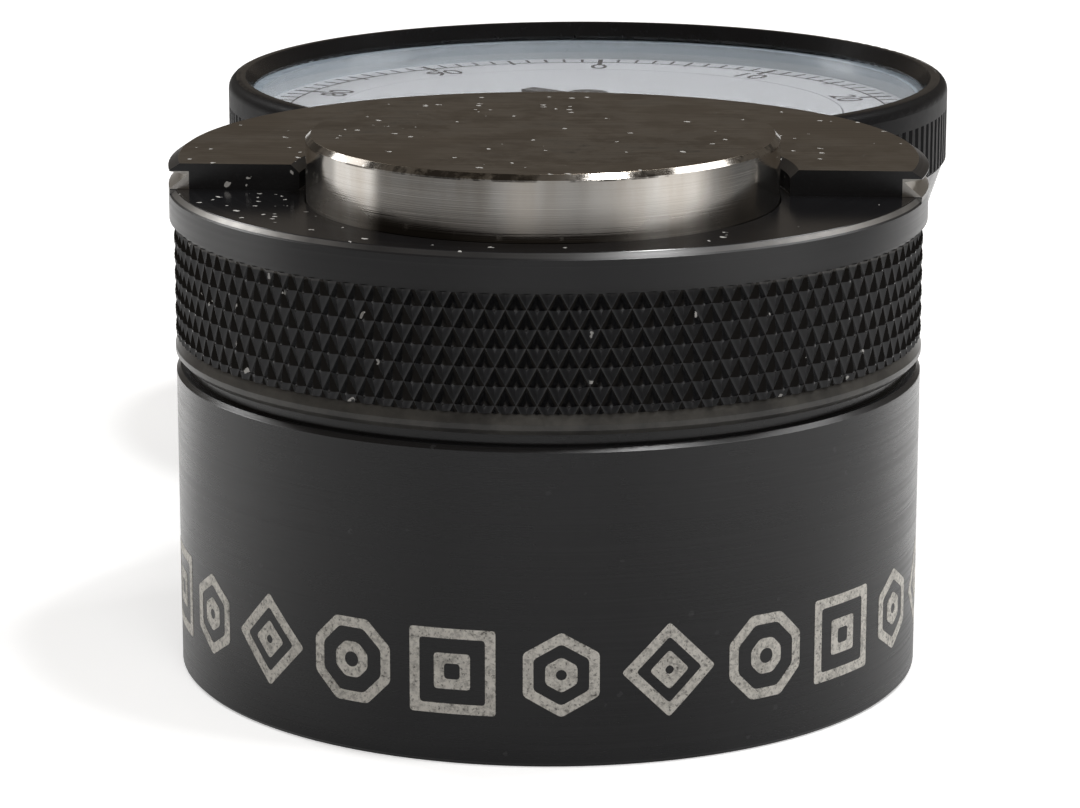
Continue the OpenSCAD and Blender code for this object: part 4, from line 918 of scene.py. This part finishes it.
def make_camera():
    """The camera at the photograph's viewing angle."""
    sizes = bpy.context.scene.setter_stage
    data = bpy.data.cameras.new("camera")
    data.lens = sizes.lens
    data.sensor_width = 36.0
    data.clip_start = 0.01
    camera = bpy.data.objects.new("camera", data)
    bpy.context.scene.collection.objects.link(camera)
    look = (Vector(sizes.aim) - Vector(sizes.camera_at)).to_track_quat("-Z", "Y").to_matrix().to_4x4()
    camera.matrix_world = Matrix.Translation(sizes.camera_at) @ look @ Matrix.Rotation(sizes.roll, 4, "Z")
    bpy.context.scene.camera = camera


def make_light():
    """Soft boxes round the object, split into a part that shiny faces mirror and one that they don't."""
    sizes = bpy.context.scene.setter_stage
    for name, (at, aim, width, beam, gleam) in LAMPS.items():
        power = getattr(sizes, name + "_power")
        if gleam < 1:
            add_lamp(name + "_box", at, aim, width, beam, power * (1 - gleam), False)
        if gleam > 0:
            # The mirrored part hangs just in front of the other one
            nearer = Vector(at).lerp(Vector(aim), 0.004)
            add_lamp(name + "_box_gleam", nearer, aim, width, beam, power * gleam, True)


def make_surroundings():
    """Surroundings that are white to the camera, and dim and warm where they light the object."""
    world = bpy.data.worlds.new("surroundings")
    world.use_nodes = True
    tree = world.node_tree
    background = tree.nodes["Background"]
    background.inputs["Strength"].default_value = 1.0
    path = tree.nodes.new("ShaderNodeLightPath")
    shade = tree.nodes.new("ShaderNodeMix")
    shade.data_type = "RGBA"
    tree.links.new(path.outputs["Is Camera Ray"], shade.inputs["Factor"])
    shade.inputs[6].default_value = (*bpy.context.scene.setter_colours.surroundings, 1.0)
    shade.inputs[7].default_value = (1.0, 1.0, 1.0, 1.0)
    tree.links.new(shade.outputs[2], background.inputs["Color"])
    bpy.context.scene.world = world


class SETTER_OT_finishes(bpy.types.Operator):
    """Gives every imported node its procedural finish"""
    bl_idname = "setter.finishes"
    bl_label = "Surface finishes"

    def execute(self, context):
        finishes = all_finishes()
        for row in frame["record"]["subparts"]:
            node = frame["nodes"][row["node"]]
            node.data.materials.clear()
            node.data.materials.append(finishes[row["material_slot"]])
        return {"FINISHED"}


class SETTER_OT_knurl(bpy.types.Operator):
    """Makes the diamond knurling round the head"""
    bl_idname = "setter.knurl"
    bl_label = "Knurling"

    def execute(self, context):
        make_knurl(knurl_finish())
        return {"FINISHED"}


class SETTER_OT_marks(bpy.types.Operator):
    """Makes the plain etched marks on the housing"""
    bl_idname = "setter.marks"
    bl_label = "Etched marks"

    def execute(self, context):
        make_marks(etched_finish())
        return {"FINISHED"}


class SETTER_OT_dial(bpy.types.Operator):
    """Prints the graduations and numbers of both dials"""
    bl_idname = "setter.dial"
    bl_label = "Dial print"

    def execute(self, context):
        ink = ink_finish()
        make_dial_print(ink)
        make_counter_print(ink)
        return {"FINISHED"}


class SETTER_OT_stage(bpy.types.Operator):
    """Sets up the floor, the light and the camera"""
    bl_idname = "setter.stage"
    bl_label = "Stage"

    def execute(self, context):
        make_floor()
        make_light()
        make_surroundings()
        make_camera()
        context.scene.view_settings.view_transform = "Standard"
        return {"FINISHED"}


class SETTER_PT_panel(bpy.types.Panel):
    """Lists the steps that finish the setter"""
    bl_idname = "SETTER_PT_panel"
    bl_label = "Tool length setter"
    bl_space_type = "VIEW_3D"
    bl_region_type = "UI"
    bl_category = "Setter"

    def draw(self, context):
        for step in STEPS:
            self.layout.operator(step.bl_idname)
        for group in GROUPS:
            settings = getattr(context.scene, group)
            box = self.layout.box()
            for name in settings.__annotations__:
                box.prop(settings, name)


STEPS = (SETTER_OT_finishes, SETTER_OT_knurl, SETTER_OT_marks, SETTER_OT_dial, SETTER_OT_stage)
GROUPS = {
    "setter_knurl": SETTER_knurl_sizes,
    "setter_marks": SETTER_mark_sizes,
    "setter_dial": SETTER_dial_sizes,
    "setter_wear": SETTER_wear_sizes,
    "setter_colours": SETTER_colours,
    "setter_stage": SETTER_stage_sizes,
}


def register():
    for cls in (*GROUPS.values(), *STEPS, SETTER_PT_panel):
        bpy.utils.register_class(cls)
    for name, cls in GROUPS.items():
        setattr(bpy.types.Scene, name, PointerProperty(type=cls))


def unregister():
    for name in GROUPS:
        delattr(bpy.types.Scene, name)
    for cls in (SETTER_PT_panel, *reversed(STEPS), *GROUPS.values()):
        bpy.utils.unregister_class(cls)


def main():
    register()
    for step in STEPS:
        getattr(bpy.ops.setter, step.bl_idname.split(".")[1])()


if __name__ == "__main__":
    main()
